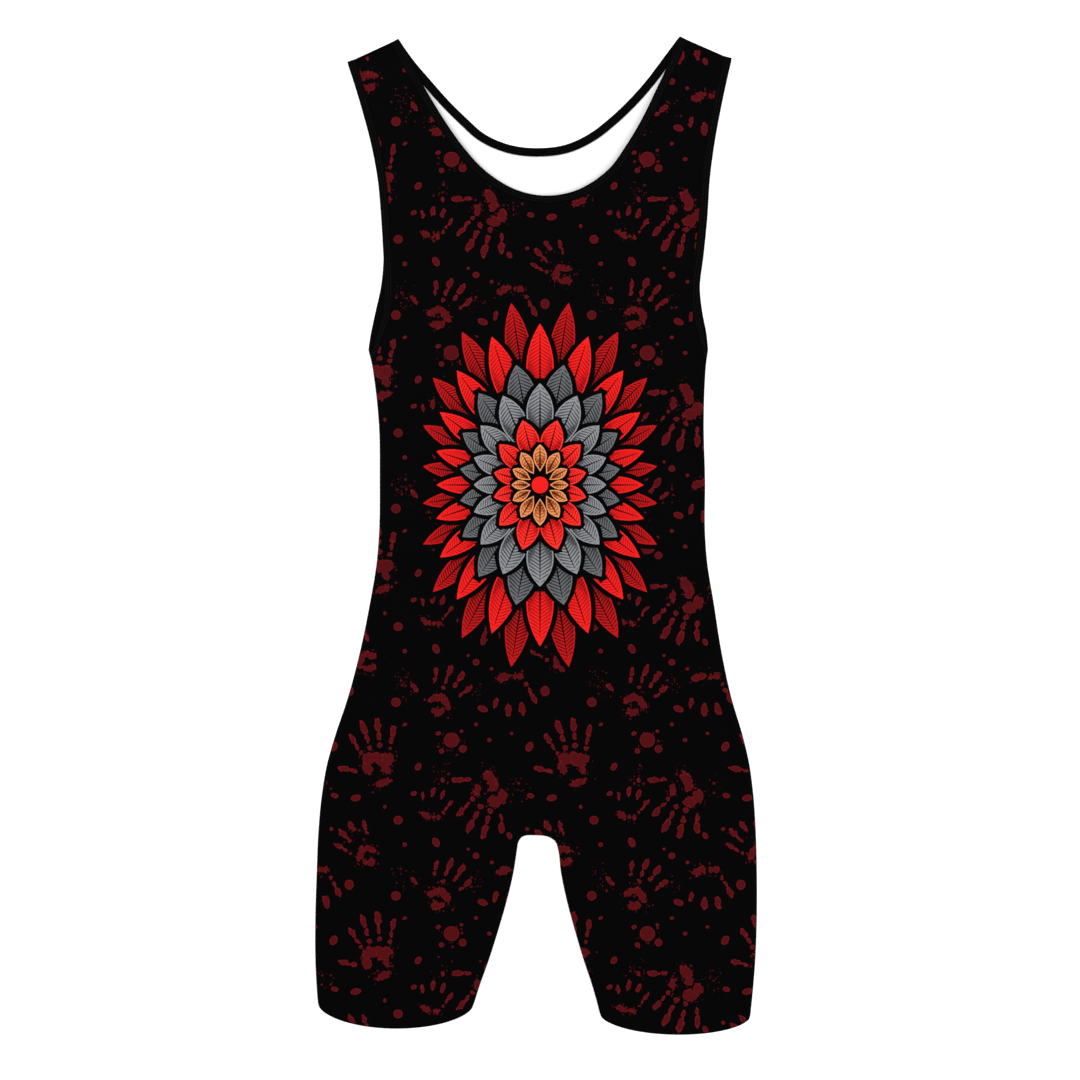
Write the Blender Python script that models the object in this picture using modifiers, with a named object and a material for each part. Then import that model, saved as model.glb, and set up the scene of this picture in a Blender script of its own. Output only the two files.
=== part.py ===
"""Wrestling singlet, laid flat on its back with its front up.

A front and a back panel of knitted cloth lie on each other. They are joined at the shoulders, down
the sides and round the inside of the legs. A folded binding edges the neck and the armholes, and the
leg openings are the panels' own edges. X runs across the body, Y from the legs to the straps and
Z up from the surface that it lies on. Left, towards -X, and right are as one looks at the front.
Lengths in the tables are millimetres.
"""

import math
from typing import NamedTuple

import bmesh
import bpy
import numpy as np

MM = 0.001

LENGTH = 898.2 * MM  # from the lower hem to the higher strap end

PANEL_WALL = 1.2 * MM
BINDING_WALL = 1.4 * MM
LAYER_GAP = 0.6 * MM  # air between the front and the back panel
SEAM_GAP = 0.3 * MM
FRONT_UNDERSIDE = PANEL_WALL + LAYER_GAP

BINDING_WIDTH = 7.6 * MM
SHOULDER_LAP = 2.7 * MM  # how far the back comes over the shoulder fold
FIRST_ROW = SHOULDER_LAP + SEAM_GAP  # where the front begins, along a strap from its end
NECK_END_RISE = 0.5 * MM  # how far the neck binding's end stands out past the strap's

# A panel has this many columns from its outer edge to its middle, and rows in each stretch.
COLUMNS = 20
STRAP_ROWS = 14
TORSO_ROWS = 10
LEG_ROWS = 10
ARCH_COLUMNS = 3  # of a row's columns, those that lie along the crotch's arch
STRIP_COLUMNS = 2

SEAM_FOLD = (33, 22, 11)  # degrees that a panel turns in towards its seam, from its rim
SHOULDER_FOLD = (0, 30, 60, 90, 120, 150)  # degrees round the shoulder, from the front


class Edge(NamedTuple):
    """How far an edge lies to the left and right of the middle, at a height above the lower hem."""

    up: float
    left: float
    right: float


class Side(NamedTuple):
    """Where one side of the garment has its corners, each as (up, distance from the middle)."""

    sign: int
    strap_outer: tuple
    strap_inner: tuple
    hem_outer: tuple
    hem_inner: tuple
    hem_bow: float  # how far the hem's middle hangs below its corners


SIDES = {
    "left": Side(-1, (875, 170.1), (896, 123.8), (28, 196.2), (27, 56.3), 22),
    "right": Side(1, (878.5, 176.3), (898.2, 129), (16.5, 192.6), (18.3, 57.5), 17.4),
}

ARMHOLE = (
    Edge(835, 157.5, 166.6),
    Edge(800, 148.2, 160.2),
    Edge(770, 142.6, 156.3),
    Edge(735, 139.4, 154),
    Edge(700, 137.3, 150.5),
)
FRONT_ARMHOLE_FOOT = (
    Edge(673, 135.8, 147.2),
    Edge(650, 137.3, 147.3),
    Edge(630, 142.5, 150.8),
    Edge(611, 148.8, 153.7),
)
BACK_ARMHOLE_FOOT = (
    Edge(673, 139.6, 147.4),
    Edge(650, 144.6, 149.6),
    Edge(630, 148.8, 153.4),
    Edge(616, 150.9, 154.7),
)
SIDE_SEAM = (
    Edge(604, 147.8, 152.9),
    Edge(581, 144.5, 151.5),
    Edge(548, 141.4, 150.8),
    Edge(500, 140.7, 152),
    Edge(448, 141.5, 152.1),
    Edge(427, 143.2, 153.7),
    Edge(386, 149.9, 160.2),
    Edge(346, 158.1, 166.5),
    Edge(305, 168.8, 175.2),
    Edge(265, 182, 186.9),
    Edge(244, 187.9, 191.7),
    Edge(220, 192.2, 195),
    Edge(179, 196.1, 197.8),
    Edge(146, 197.4, 198.6),
    Edge(107, 198.6, 198.6),
    Edge(67, 198.6, 197.2),
    Edge(44, 197.5, 195.4),
)
FRONT_NECK = (
    Edge(872, 111.5, 118.4),
    Edge(850, 99.2, 108),
    Edge(823, 82.9, 94.8),
    Edge(800, 66.8, 81.1),
    Edge(778, 46.9, 64.8),
    Edge(769, 35.1, 53.7),
    Edge(760, 18.3, 37.7),
)
FRONT_NECK_LOWEST = (754.6, 8)
BACK_NECK = (
    Edge(877, 110.7, 113.3),
    Edge(859, 95.4, 99.7),
    Edge(841, 79.5, 83.7),
    Edge(823, 61.2, 64.5),
    Edge(812, 48.9, 50.3),
    Edge(800.4, 23.2, 25.6),
)
BACK_NECK_LOWEST = (797.6, 3)
INSEAM = (
    Edge(177, 13.5, 12.8),
    Edge(173, 16, 17.8),
    Edge(167, 17, 19.6),
    Edge(146, 20.3, 22.3),
    Edge(121, 26.2, 27.5),
    Edge(94, 34, 34.8),
    Edge(67, 42.6, 42.8),
    Edge(44, 50.9, 50.5),
)
CROTCH = (179.2, 0)
ARCH_RUN = 18 * MM  # from the crotch's middle round to the top of a leg's inner seam
HIP_UP = 170  # height on the side seam where the legs begin
HEM_POWER = 0.55  # a leg opening with 0.5 is half an ellipse, and with more it has a fuller middle


class Rim(NamedTuple):
    """An edge of a panel that turns in towards its seam: the way into the cloth, and how far it turns."""

    into: np.ndarray
    share: float = 1.0


def share_turned(row):
    """How much of the full turn a seam has in one of its rows: it grows over the first two."""
    return min(row / 2, 1)


class Layer(NamedTuple):
    """One of the two layers of a kind of piece: its outer face's radius at a fold, and its side."""

    radius: float  # half the height of the folded stack
    wall: float
    is_front: bool

    def height(self, angle):
        """Height of the outer face, turned by an angle in radians from flat."""
        rise = self.radius * math.cos(angle)
        return self.radius + rise if self.is_front else self.radius - rise


def layer(wall, is_front):
    return Layer((FRONT_UNDERSIDE + wall) / 2, wall, is_front)


def at(up, across):
    """A point in plan, in metres, with Y measured from the garment's middle."""
    return (across * MM, up * MM - LENGTH / 2)


def corner(side, place):
    up, out = place
    return at(up, SIDES[side].sign * out)


def along(side, rows):
    return [corner(side, (row.up, getattr(row, side))) for row in rows]


def unit(vectors):
    return vectors / np.linalg.norm(vectors, axis=-1, keepdims=True)


def run_of(line):
    """Distance along a line to each of its points."""
    return np.concatenate([[0], np.cumsum(np.linalg.norm(np.diff(line, axis=0), axis=1))])


def smooth(points, count=600):
    """A smooth curve through all the points, as many close points."""
    points = np.array(points)
    run = run_of(points)
    slope = np.gradient(points, run, axis=0, edge_order=2)
    place = np.linspace(0, run[-1], count)
    i = np.clip(np.searchsorted(run, place, side="right") - 1, 0, len(points) - 2)
    span = (run[i + 1] - run[i])[:, None]
    t = (place[:, None] - run[i][:, None]) / span
    return (
        (2 * t**3 - 3 * t**2 + 1) * points[i]
        + (t**3 - 2 * t**2 + t) * span * slope[i]
        + (3 * t**2 - 2 * t**3) * points[i + 1]
        + (t**3 - t**2) * span * slope[i + 1]
    )


def inward(line, to_left):
    """Unit vectors square to a line, to its left or its right as one goes along it."""
    ahead = unit(np.gradient(line, axis=0))
    left = np.stack([-ahead[:, 1], ahead[:, 0]], axis=1)
    return left if to_left else -left


def stations(line, count, start=0.0):
    """count + 1 points along a line, from a distance along it to its end."""
    run = run_of(line)
    place = np.linspace(start, run[-1], count + 1)
    return np.stack([np.interp(place, run, line[:, k]) for k in (0, 1)], axis=1)


def strap_end(side):
    """Unit vectors along a strap's end towards the armhole, and square to it down the strap."""
    inner, outer = (corner(side, getattr(SIDES[side], f"strap_{end}")) for end in ("inner", "outer"))
    across = unit(np.subtract(outer, inner))
    return across, SIDES[side].sign * np.array((across[1], -across[0]))


def bent_to(line, end):
    """The line with its last quarter bent so that it ends at a point."""
    share = np.clip(np.linspace(-3, 1, len(line)), 0, 1)[:, None] ** 2
    return line + share * (end - line[-1])


def armhole(side, foot, inset=0.0):
    """An armhole's edge from strap to underarm, or the line inset from it, which ends on the side."""
    edge = smooth([corner(side, SIDES[side].strap_outer), *along(side, ARMHOLE + foot)])
    line = edge + inset * inward(edge, to_left=side == "left")
    side_top = np.array(along(side, SIDE_SEAM[:1])[0])
    share = (inset / (BINDING_WIDTH + SEAM_GAP / 2)) ** 2  # squared, as the edges meet at a slant
    return bent_to(line, edge[-1] + share * (side_top - edge[-1]))


def neck(rows, lowest, side, inset=0.0):
    """Half of a neckline from strap to lowest point, or the line inset from it."""
    left = [corner("left", SIDES["left"].strap_inner), *along("left", rows)]
    right = [corner("right", SIDES["right"].strap_inner), *along("right", rows)]
    edge = smooth([*left, at(*lowest), *right[::-1]])
    line = edge + inset * inward(edge, to_left=False)
    middle = int(np.argmin(np.linalg.norm(edge - at(*lowest), axis=1)))
    half = line[: middle + 1] if side == "left" else line[middle:][::-1]
    across, down = strap_end(side)
    share = min(inset / BINDING_WIDTH, 1)
    seam_start = half[0] if not inset else corner(side, SIDES[side].strap_inner) + inset * across
    return bent_to(half[::-1], seam_start + share * NECK_END_RISE * down)[::-1]


def side_seam(side):
    return smooth([*along(side, SIDE_SEAM), corner(side, SIDES[side].hem_outer)])


def inseam(side):
    """The inner edge of a leg, from the crotch to the hem."""
    left = [*along("left", INSEAM), corner("left", SIDES["left"].hem_inner)]
    right = [*along("right", INSEAM), corner("right", SIDES["right"].hem_inner)]
    line = smooth([*left[::-1], at(*CROTCH), *right])
    middle = int(np.argmin(np.linalg.norm(line - at(*CROTCH), axis=1)))
    return line[: middle + 1][::-1] if side == "left" else line[middle:]


def level(points, cloth):
    """The points at the height of the layer's outer face."""
    return [(x, y, cloth.height(0)) for x, y in points]


def turned(edge, rim, cloth):
    """Points where a panel turns in towards its seam, from the rim, and the flat point that follows."""
    angles = np.radians((*SEAM_FOLD, 0))
    reach = cloth.radius * (np.sin(angles[0]) - np.sin(angles))
    points = edge + reach[:, None] * unit(rim.into)
    heights = [cloth.height(rim.share * angle) for angle in angles]
    return [(x, y, z) for (x, y), z in zip(points[:-1], heights)], points[-1]


def half_row(outer, inner, cloth, outer_rim=None, inner_rim=None, columns=COLUMNS, hem=0, bow=0):
    """Half of a panel's row, from its outer edge to its inner one.

    An edge with a rim is a seam. hem goes from 0 to 1 at the leg opening, where the row becomes a
    round curve that hangs by bow.
    """
    start, end = [], []
    if outer_rim:
        start, outer = turned(outer, outer_rim, cloth)
    if inner_rim:
        end, inner = turned(inner, inner_rim, cloth)
    even = np.linspace(0, 1, columns + 1 - len(start) - len(end))
    share = (1 - hem) * even + hem * (1 - np.cos(np.pi * even)) / 2
    drop = hem * bow * (1 - (2 * share - 1) ** 2) ** HEM_POWER
    flat = outer + share[:, None] * (inner - outer)
    flat[:, 1] -= drop
    return [*start, *level(flat, cloth), *end[::-1]]


def over_shoulder(side, outer, inner, columns, cloth):
    """Rows from the shoulder seam, over the fold, to the back, between two points on the fold."""
    end = np.linspace(outer, inner, columns + 1)
    down = strap_end(side)[1]
    rows = [(SHOULDER_LAP, 2 * cloth.radius)]
    for angle in np.radians(SHOULDER_FOLD):
        rows.append((cloth.radius * (1 - math.sin(angle)), cloth.radius * (1 + math.cos(angle))))
    return [[(x, y, height) for x, y in end + reach * down] for reach, height in rows]


def panel_half(side, foot, neckline, cloth):
    """The rows of half a panel, from strap to leg opening, each from outer edge to middle."""
    inset = BINDING_WIDTH + SEAM_GAP / 2
    arm = armhole(side, foot, inset)
    collar = neck(*neckline, side, inset)
    rows = [] if cloth.is_front else over_shoulder(side, arm[0], collar[0], COLUMNS, cloth)
    for outer, inner in zip(stations(arm, STRAP_ROWS, FIRST_ROW), stations(collar, STRAP_ROWS, FIRST_ROW)):
        rows.append(half_row(outer, inner, cloth))

    seam = side_seam(side)
    seam_in = inward(seam, to_left=side == "left")
    hip = int(np.argmin(abs(seam[:, 1] - at(HIP_UP, 0)[1])))
    middle = np.linspace(collar[-1], at(*CROTCH), 50)
    torso = zip(
        stations(seam[: hip + 1], TORSO_ROWS),
        stations(seam_in[: hip + 1], TORSO_ROWS),
        stations(middle, TORSO_ROWS),
    )
    for i, (outer, into, inner) in list(enumerate(torso))[1:-1]:
        rows.append(half_row(outer, inner, cloth, Rim(into, share_turned(i))))

    inside = inseam(side)
    top = int(np.searchsorted(run_of(inside), ARCH_RUN))
    arch = stations(inside[: top + 1], ARCH_COLUMNS)
    leg_columns = COLUMNS - ARCH_COLUMNS
    hip_row = half_row(seam[hip], inside[top], cloth, Rim(seam_in[hip]), columns=leg_columns)
    rows.append(hip_row[:-1] + level(arch[::-1], cloth))

    leg = zip(
        stations(seam[hip:], LEG_ROWS),
        stations(seam_in[hip:], LEG_ROWS),
        stations(inside[top:], LEG_ROWS),
        stations(inward(inside, to_left=side == "right")[top:], LEG_ROWS),
        np.linspace(0, 1, LEG_ROWS + 1) ** 2,
    )
    bow = SIDES[side].hem_bow * MM
    for i, (outer, into, inner, inner_into, hem) in list(enumerate(leg))[1:]:
        rims = (Rim(into), Rim(inner_into, share_turned(i)))
        rows.append(half_row(outer, inner, cloth, *rims, leg_columns, hem, bow))
    return rows


def add_quads(mesh, rows, turned_over):
    for upper, lower in zip(rows, rows[1:]):
        for a, b, c, d in zip(upper, lower, lower[1:], upper[1:]):
            mesh.faces.new((d, c, b, a) if turned_over else (a, b, c, d))


def finished(name, mesh, cloth, material, collection):
    """An object from a sheet of quads, given the cloth's wall on its inner side."""
    data = bpy.data.meshes.new(name)
    mesh.to_mesh(data)
    mesh.free()
    data.materials.append(material)
    obj = bpy.data.objects.new(name, data)
    collection.objects.link(obj)
    wall = obj.modifiers.new("wall", "SOLIDIFY")
    wall.thickness = cloth.wall
    wall.offset = -1
    data.shade_smooth()
    data.set_sharp_from_angle(angle=math.radians(40))
    return obj


def make_panel(name, foot, neckline, is_front, material, collection):
    """A panel of two halves, which part above the neckline and below the crotch."""
    cloth = layer(PANEL_WALL, is_front)
    left, right = (panel_half(side, foot, neckline, cloth) for side in SIDES)
    last = len(left) - 1 - LEG_ROWS
    joined = range(last - TORSO_ROWS, last + 1)
    mesh = bmesh.new()
    left = [[mesh.verts.new(point) for point in row] for row in left]
    right = [[mesh.verts.new(point) for point in row[:-1]] + [row[-1]] for row in right]
    for i, row in enumerate(right):
        row[-1] = left[i][-1] if i in joined else mesh.verts.new(row[-1])
    add_quads(mesh, left, turned_over=not is_front)
    add_quads(mesh, right, turned_over=is_front)
    return finished(name, mesh, cloth, material, collection)


def strip_rows(side, edge, seam, rows, cloth):
    """Rows across a binding from its edge to its seam, from the shoulder on."""
    found = [] if cloth.is_front else over_shoulder(side, edge[0], seam[0], STRIP_COLUMNS, cloth)
    for outer, inner in zip(stations(edge, rows, FIRST_ROW), stations(seam, rows, FIRST_ROW)):
        found.append(level(np.linspace(outer, inner, STRIP_COLUMNS + 1), cloth))
    return found


def make_strip(name, rows, cloth, turned_over, material, collection):
    mesh = bmesh.new()
    points = [[mesh.verts.new(point) for point in row] for row in rows]
    add_quads(mesh, points, turned_over)
    return finished(name, mesh, cloth, material, collection)


def make_armhole_binding(side, foot, is_front, material, collection):
    cloth = layer(BINDING_WALL, is_front)
    edge = armhole(side, foot)
    seam = armhole(side, foot, BINDING_WIDTH - SEAM_GAP / 2)
    rows = strip_rows(side, edge, seam, STRAP_ROWS, cloth)
    name = f"armhole_binding_{'front' if is_front else 'back'}_{side}"
    return make_strip(name, rows, cloth, (side == "left") != is_front, material, collection)


def make_neck_binding(neckline, is_front, material, collection):
    """A binding from the left shoulder round the neck to the right one."""
    cloth = layer(BINDING_WALL, is_front)
    left, right = (
        strip_rows(
            side,
            neck(*neckline, side),
            neck(*neckline, side, BINDING_WIDTH - SEAM_GAP / 2),
            STRAP_ROWS,
            cloth,
        )
        for side in SIDES
    )
    name = f"neck_binding_{'front' if is_front else 'back'}"
    return make_strip(name, left + right[-2::-1], cloth, is_front, material, collection)


def make_material(name, colour, roughness):
    material = bpy.data.materials.new(name)
    material.use_nodes = True
    surface = material.node_tree.nodes["Principled BSDF"]
    surface.inputs["Base Color"].default_value = (*colour, 1)
    surface.inputs["Roughness"].default_value = roughness
    surface.inputs["Metallic"].default_value = 0
    return material


def clear_scene():
    for obj in list(bpy.data.objects):
        bpy.data.objects.remove(obj, do_unlink=True)


def main():
    clear_scene()
    singlet = bpy.data.collections.new("wrestling_singlet")
    bpy.context.scene.collection.children.link(singlet)
    knit = make_material("printed_knit", (0.02, 0.004, 0.005), 0.6)
    plain = make_material("binding_knit", (0.006, 0.006, 0.007), 0.5)

    front_neck = (FRONT_NECK, FRONT_NECK_LOWEST)
    back_neck = (BACK_NECK, BACK_NECK_LOWEST)
    make_panel("front_panel", FRONT_ARMHOLE_FOOT, front_neck, True, knit, singlet)
    make_panel("back_panel", BACK_ARMHOLE_FOOT, back_neck, False, knit, singlet)
    make_neck_binding(front_neck, True, plain, singlet)
    make_neck_binding(back_neck, False, plain, singlet)
    for side in SIDES:
        make_armhole_binding(side, FRONT_ARMHOLE_FOOT, True, plain, singlet)
        make_armhole_binding(side, BACK_ARMHOLE_FOOT, False, plain, singlet)


main()
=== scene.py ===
"""Looks of a wrestling singlet that lies flat on its back, with its front up.

Two panels of printed knit lie on each other. Each is a thin shell with creases, turned in at its
seams. Folded bindings edge the neck and the armholes, with two rows of cover stitches. X runs
across the body, Y from the legs to the straps and Z up from the floor. Left and right are as one
looks at the front. Tables hold millimetres, and meshes hold metres.
"""

from __future__ import annotations

import logging
import math
from dataclasses import dataclass, field
from enum import Enum
from typing import Any, Iterable, NamedTuple, Sequence

import bpy
import numpy as np
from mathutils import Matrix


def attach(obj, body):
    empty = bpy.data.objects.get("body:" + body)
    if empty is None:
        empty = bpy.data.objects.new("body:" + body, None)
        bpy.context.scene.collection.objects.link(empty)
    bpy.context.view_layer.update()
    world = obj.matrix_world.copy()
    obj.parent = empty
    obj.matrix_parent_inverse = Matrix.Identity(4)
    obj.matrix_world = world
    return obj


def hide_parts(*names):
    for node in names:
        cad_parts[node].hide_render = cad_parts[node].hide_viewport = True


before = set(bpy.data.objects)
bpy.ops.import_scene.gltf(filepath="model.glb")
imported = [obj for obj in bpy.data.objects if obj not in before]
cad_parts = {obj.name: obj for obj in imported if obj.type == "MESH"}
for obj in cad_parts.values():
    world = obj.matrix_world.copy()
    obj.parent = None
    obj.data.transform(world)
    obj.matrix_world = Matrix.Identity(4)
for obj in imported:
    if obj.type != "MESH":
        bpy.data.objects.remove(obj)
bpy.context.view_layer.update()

MM = 0.001
BODY = "root"
CLOTH = "cloth"  # attribute that holds each point's place on the cut, in millimetres
HAIR = 0.01  # what counts as nothing, in millimetres or radians
SHOULDER_TURN = range(0, 166, 15)  # degrees over the shoulder fold where rows lie
LOG = logging.getLogger("wrestling_singlet")


class Side(Enum):
    """A side of the garment, as one looks at its front."""

    LEFT = -1
    RIGHT = 1


class Face(Enum):
    """The layer that a piece belongs to."""

    FRONT = "front"
    BACK = "back"


# --------------------------------------------------------------------------- the cut


class Edge(NamedTuple):
    """How far an edge lies to the left and right of the middle, at a height above the lower hem."""

    up: float
    left: float
    right: float


@dataclass(frozen=True)
class Corners:
    """Where one side has its corners, each as (up, distance from the middle)."""

    strap_outer: tuple[float, float]
    strap_inner: tuple[float, float]
    hem_outer: tuple[float, float]
    hem_inner: tuple[float, float]
    hem_bow: float


CORNERS = {
    Side.LEFT: Corners((875, 170.1), (896, 123.8), (28, 196.2), (27, 56.3), 22),
    Side.RIGHT: Corners((878.5, 176.3), (898.2, 129), (16.5, 192.6), (18.3, 57.5), 17.4),
}
ARMHOLE = (
    Edge(835, 157.5, 166.6),
    Edge(800, 148.2, 160.2),
    Edge(770, 142.6, 156.3),
    Edge(735, 139.4, 154),
    Edge(700, 137.3, 150.5),
)
ARMHOLE_FOOT = {
    Face.FRONT: (
        Edge(673, 135.8, 147.2),
        Edge(650, 137.3, 147.3),
        Edge(630, 142.5, 150.8),
        Edge(611, 148.8, 153.7),
    ),
    Face.BACK: (
        Edge(673, 139.6, 147.4),
        Edge(650, 144.6, 149.6),
        Edge(630, 148.8, 153.4),
        Edge(616, 150.9, 154.7),
    ),
}
SIDE_SEAM = (
    Edge(604, 147.8, 152.9),
    Edge(581, 144.5, 151.5),
    Edge(548, 141.4, 150.8),
    Edge(500, 140.7, 152),
    Edge(448, 141.5, 152.1),
    Edge(427, 143.2, 153.7),
    Edge(386, 149.9, 160.2),
    Edge(346, 158.1, 166.5),
    Edge(305, 168.8, 175.2),
    Edge(265, 182, 186.9),
    Edge(244, 187.9, 191.7),
    Edge(220, 192.2, 195),
    Edge(179, 196.1, 197.8),
    Edge(146, 197.4, 198.6),
    Edge(107, 198.6, 198.6),
    Edge(67, 198.6, 197.2),
    Edge(44, 197.5, 195.4),
)
NECK = {
    Face.FRONT: (
        Edge(872, 111.5, 118.4),
        Edge(850, 99.2, 108),
        Edge(823, 82.9, 94.8),
        Edge(800, 66.8, 81.1),
        Edge(778, 46.9, 64.8),
        Edge(769, 35.1, 53.7),
        Edge(760, 18.3, 37.7),
    ),
    Face.BACK: (
        Edge(877, 110.7, 113.3),
        Edge(859, 95.4, 99.7),
        Edge(841, 79.5, 83.7),
        Edge(823, 61.2, 64.5),
        Edge(812, 48.9, 50.3),
        Edge(800.4, 23.2, 25.6),
    ),
}
NECK_LOWEST = {Face.FRONT: (754.6, 8), Face.BACK: (797.6, 3)}
INSEAM = (
    Edge(177, 13.5, 12.8),
    Edge(173, 16, 17.8),
    Edge(167, 17, 19.6),
    Edge(146, 20.3, 22.3),
    Edge(121, 26.2, 27.5),
    Edge(94, 34, 34.8),
    Edge(67, 42.6, 42.8),
    Edge(44, 50.9, 50.5),
)
CROTCH = (179.2, 0)


def unit(vectors: np.ndarray) -> np.ndarray:
    """The vectors at length 1."""
    return vectors / np.linalg.norm(vectors, axis=-1, keepdims=True)


def run_of(line: np.ndarray) -> np.ndarray:
    """Distance along a line to each of its points."""
    steps = np.linalg.norm(np.diff(line, axis=0), axis=1)
    return np.concatenate([[0], np.cumsum(steps)])


def smooth(points: Sequence[Sequence[float]], count: int = 1200) -> np.ndarray:
    """A smooth curve through points.

    Args:
        points: Points in plan that the curve goes through.
        count: How many close points the curve has.

    Returns:
        The curve's points.
    """
    knots = np.array(points)
    run = run_of(knots)
    slope = np.gradient(knots, run, axis=0, edge_order=2)
    place = np.linspace(0, run[-1], count)
    i = np.clip(np.searchsorted(run, place, side="right") - 1, 0, len(knots) - 2)
    span = (run[i + 1] - run[i])[:, None]
    t = (place[:, None] - run[i][:, None]) / span
    return (
        (2 * t**3 - 3 * t**2 + 1) * knots[i]
        + (t**3 - 2 * t**2 + t) * span * slope[i]
        + (3 * t**2 - 2 * t**3) * knots[i + 1]
        + (t**3 - t**2) * span * slope[i + 1]
    )


def inward(line: np.ndarray, to_left: bool) -> np.ndarray:
    """Unit vectors square to a line in plan, to its left or its right as one goes along it.

    Args:
        line: The line's points.
        to_left: Whether they point to its left.

    Returns:
        One vector for each point.
    """
    ahead = unit(np.gradient(line, axis=0))
    left = np.stack([-ahead[:, 1], ahead[:, 0]], axis=1)
    return left if to_left else -left


def read_at(
    line: np.ndarray, places: Sequence[float], values: np.ndarray | None = None
) -> np.ndarray:
    """The points of a line at distances along it, or other values that its points have."""
    run, found = run_of(line), line if values is None else values
    return np.stack([np.interp(places, run, found[:, k]) for k in range(found.shape[1])], axis=1)


def spread(
    line: np.ndarray,
    count: int,
    start: float = 0.0,
    lip: Sequence[float] = (),
    values: np.ndarray | None = None,
) -> np.ndarray:
    """Points along a line.

    Args:
        line: The line's points.
        count: How many equal steps there are.
        start: Distance along the line where they begin.
        lip: Further distances before the line's end, for a rounded edge.
        values: What to read there in place of the points.

    Returns:
        count + 1 points, and one more for each distance of the lip.
    """
    end = run_of(line)[-1]
    last = end - (max(lip) if lip else 0)
    places = [*np.linspace(start, last, count + 1), *(end - distance for distance in lip[1:])]
    return read_at(line, places, values)


def bent_to(line: np.ndarray, end: np.ndarray) -> np.ndarray:
    """The line with its last quarter bent so that it ends at a point."""
    share = np.clip(np.linspace(-3, 1, len(line)), 0, 1)[:, None] ** 2
    return line + share * (end - line[-1])


@dataclass(frozen=True)
class Cut:
    """The garment's outline as it lies, and the lines that its pieces meet on."""

    length: float = 898.2 * MM
    binding_width: float = 7.6 * MM
    tuck: float = 0.2 * MM  # how far a panel reaches in under its binding's border
    shoulder_lap: float = 2.7 * MM  # how far the back comes over the shoulder to the front
    back_start: float = 2.4 * MM  # where the back lies flat again, along a strap from its end
    neck_end_rise: float = 0.5 * MM

    @property
    def panel_inset(self) -> float:
        """How far a panel begins from a bound edge."""
        return self.binding_width - self.tuck / 2

    @property
    def binding_inset(self) -> float:
        """How far a binding reaches in from its edge."""
        return self.binding_width + self.tuck / 2

    def flat_start(self, face: Face) -> float:
        """Where a layer's flat stretch begins, along a strap from its end."""
        return self.shoulder_lap if face is Face.FRONT else self.back_start

    def at(self, up: float, across: float) -> tuple[float, float]:
        """A point in plan, from its height above the lower hem."""
        return across * MM, up * MM - self.length / 2

    def corner(self, side: Side, name: str) -> tuple[float, float]:
        """A corner of one side in plan."""
        up, out = getattr(CORNERS[side], name)
        return self.at(up, side.value * out)

    def along(self, side: Side, rows: Iterable[Edge]) -> list[tuple[float, float]]:
        """One side of a table's rows in plan."""
        name = side.name.lower()
        return [self.at(row.up, side.value * getattr(row, name)) for row in rows]

    def strap_end(self, side: Side) -> tuple[np.ndarray, np.ndarray]:
        """Unit vectors along a strap's end towards the armhole, and square to it down the strap.

        Args:
            side: The side of the garment.

        Returns:
            The two vectors.
        """
        inner, outer = (self.corner(side, f"strap_{end}") for end in ("inner", "outer"))
        across = unit(np.subtract(outer, inner))
        return across, side.value * np.array((across[1], -across[0]))

    def armhole(self, side: Side, face: Face, inset: float = 0.0) -> np.ndarray:
        """An armhole's edge from strap to underarm, or the line inset from it.

        Args:
            side: The side of the garment.
            face: The layer.
            inset: How far in from the edge the line lies.

        Returns:
            The line's points in plan.
        """
        points = [self.corner(side, "strap_outer"), *self.along(side, ARMHOLE + ARMHOLE_FOOT[face])]
        edge = smooth(points)
        line = edge + inset * inward(edge, to_left=side is Side.LEFT)
        side_top = np.array(self.along(side, SIDE_SEAM[:1])[0])
        share = (inset / self.panel_inset) ** 2
        return bent_to(line, edge[-1] + share * (side_top - edge[-1]))

    def neck(self, face: Face, side: Side, inset: float = 0.0) -> np.ndarray:
        """Half of a neckline from strap to lowest point, or the line inset from it.

        Args:
            face: The layer.
            side: Which half.
            inset: How far in from the edge the line lies.

        Returns:
            The line's points in plan.
        """
        left, right = (
            [self.corner(each, "strap_inner"), *self.along(each, NECK[face])] for each in Side
        )
        lowest = self.at(*NECK_LOWEST[face])
        edge = smooth([*left, lowest, *right[::-1]])
        line = edge + inset * inward(edge, to_left=False)
        middle = int(np.argmin(np.linalg.norm(edge - lowest, axis=1)))
        half = line[: middle + 1] if side is Side.LEFT else line[middle:][::-1]
        across, down = self.strap_end(side)
        share = min(inset / self.binding_width, 1)
        start = half[0] if not inset else self.corner(side, "strap_inner") + inset * across
        return bent_to(half[::-1], start + share * self.neck_end_rise * down)[::-1]

    def side_seam(self, side: Side) -> np.ndarray:
        """A side seam from underarm to hem."""
        return smooth([*self.along(side, SIDE_SEAM), self.corner(side, "hem_outer")])

    def inseam(self, side: Side) -> np.ndarray:
        """The inner edge of a leg, from the crotch to the hem.

        Args:
            side: The side of the garment.

        Returns:
            The line's points in plan.
        """
        left, right = ([*self.along(each, INSEAM), self.corner(each, "hem_inner")] for each in Side)
        crotch = self.at(*CROTCH)
        line = smooth([*left[::-1], crotch, *right])
        middle = int(np.argmin(np.linalg.norm(line - crotch, axis=1)))
        return line[: middle + 1][::-1] if side is Side.LEFT else line[middle:]


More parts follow.
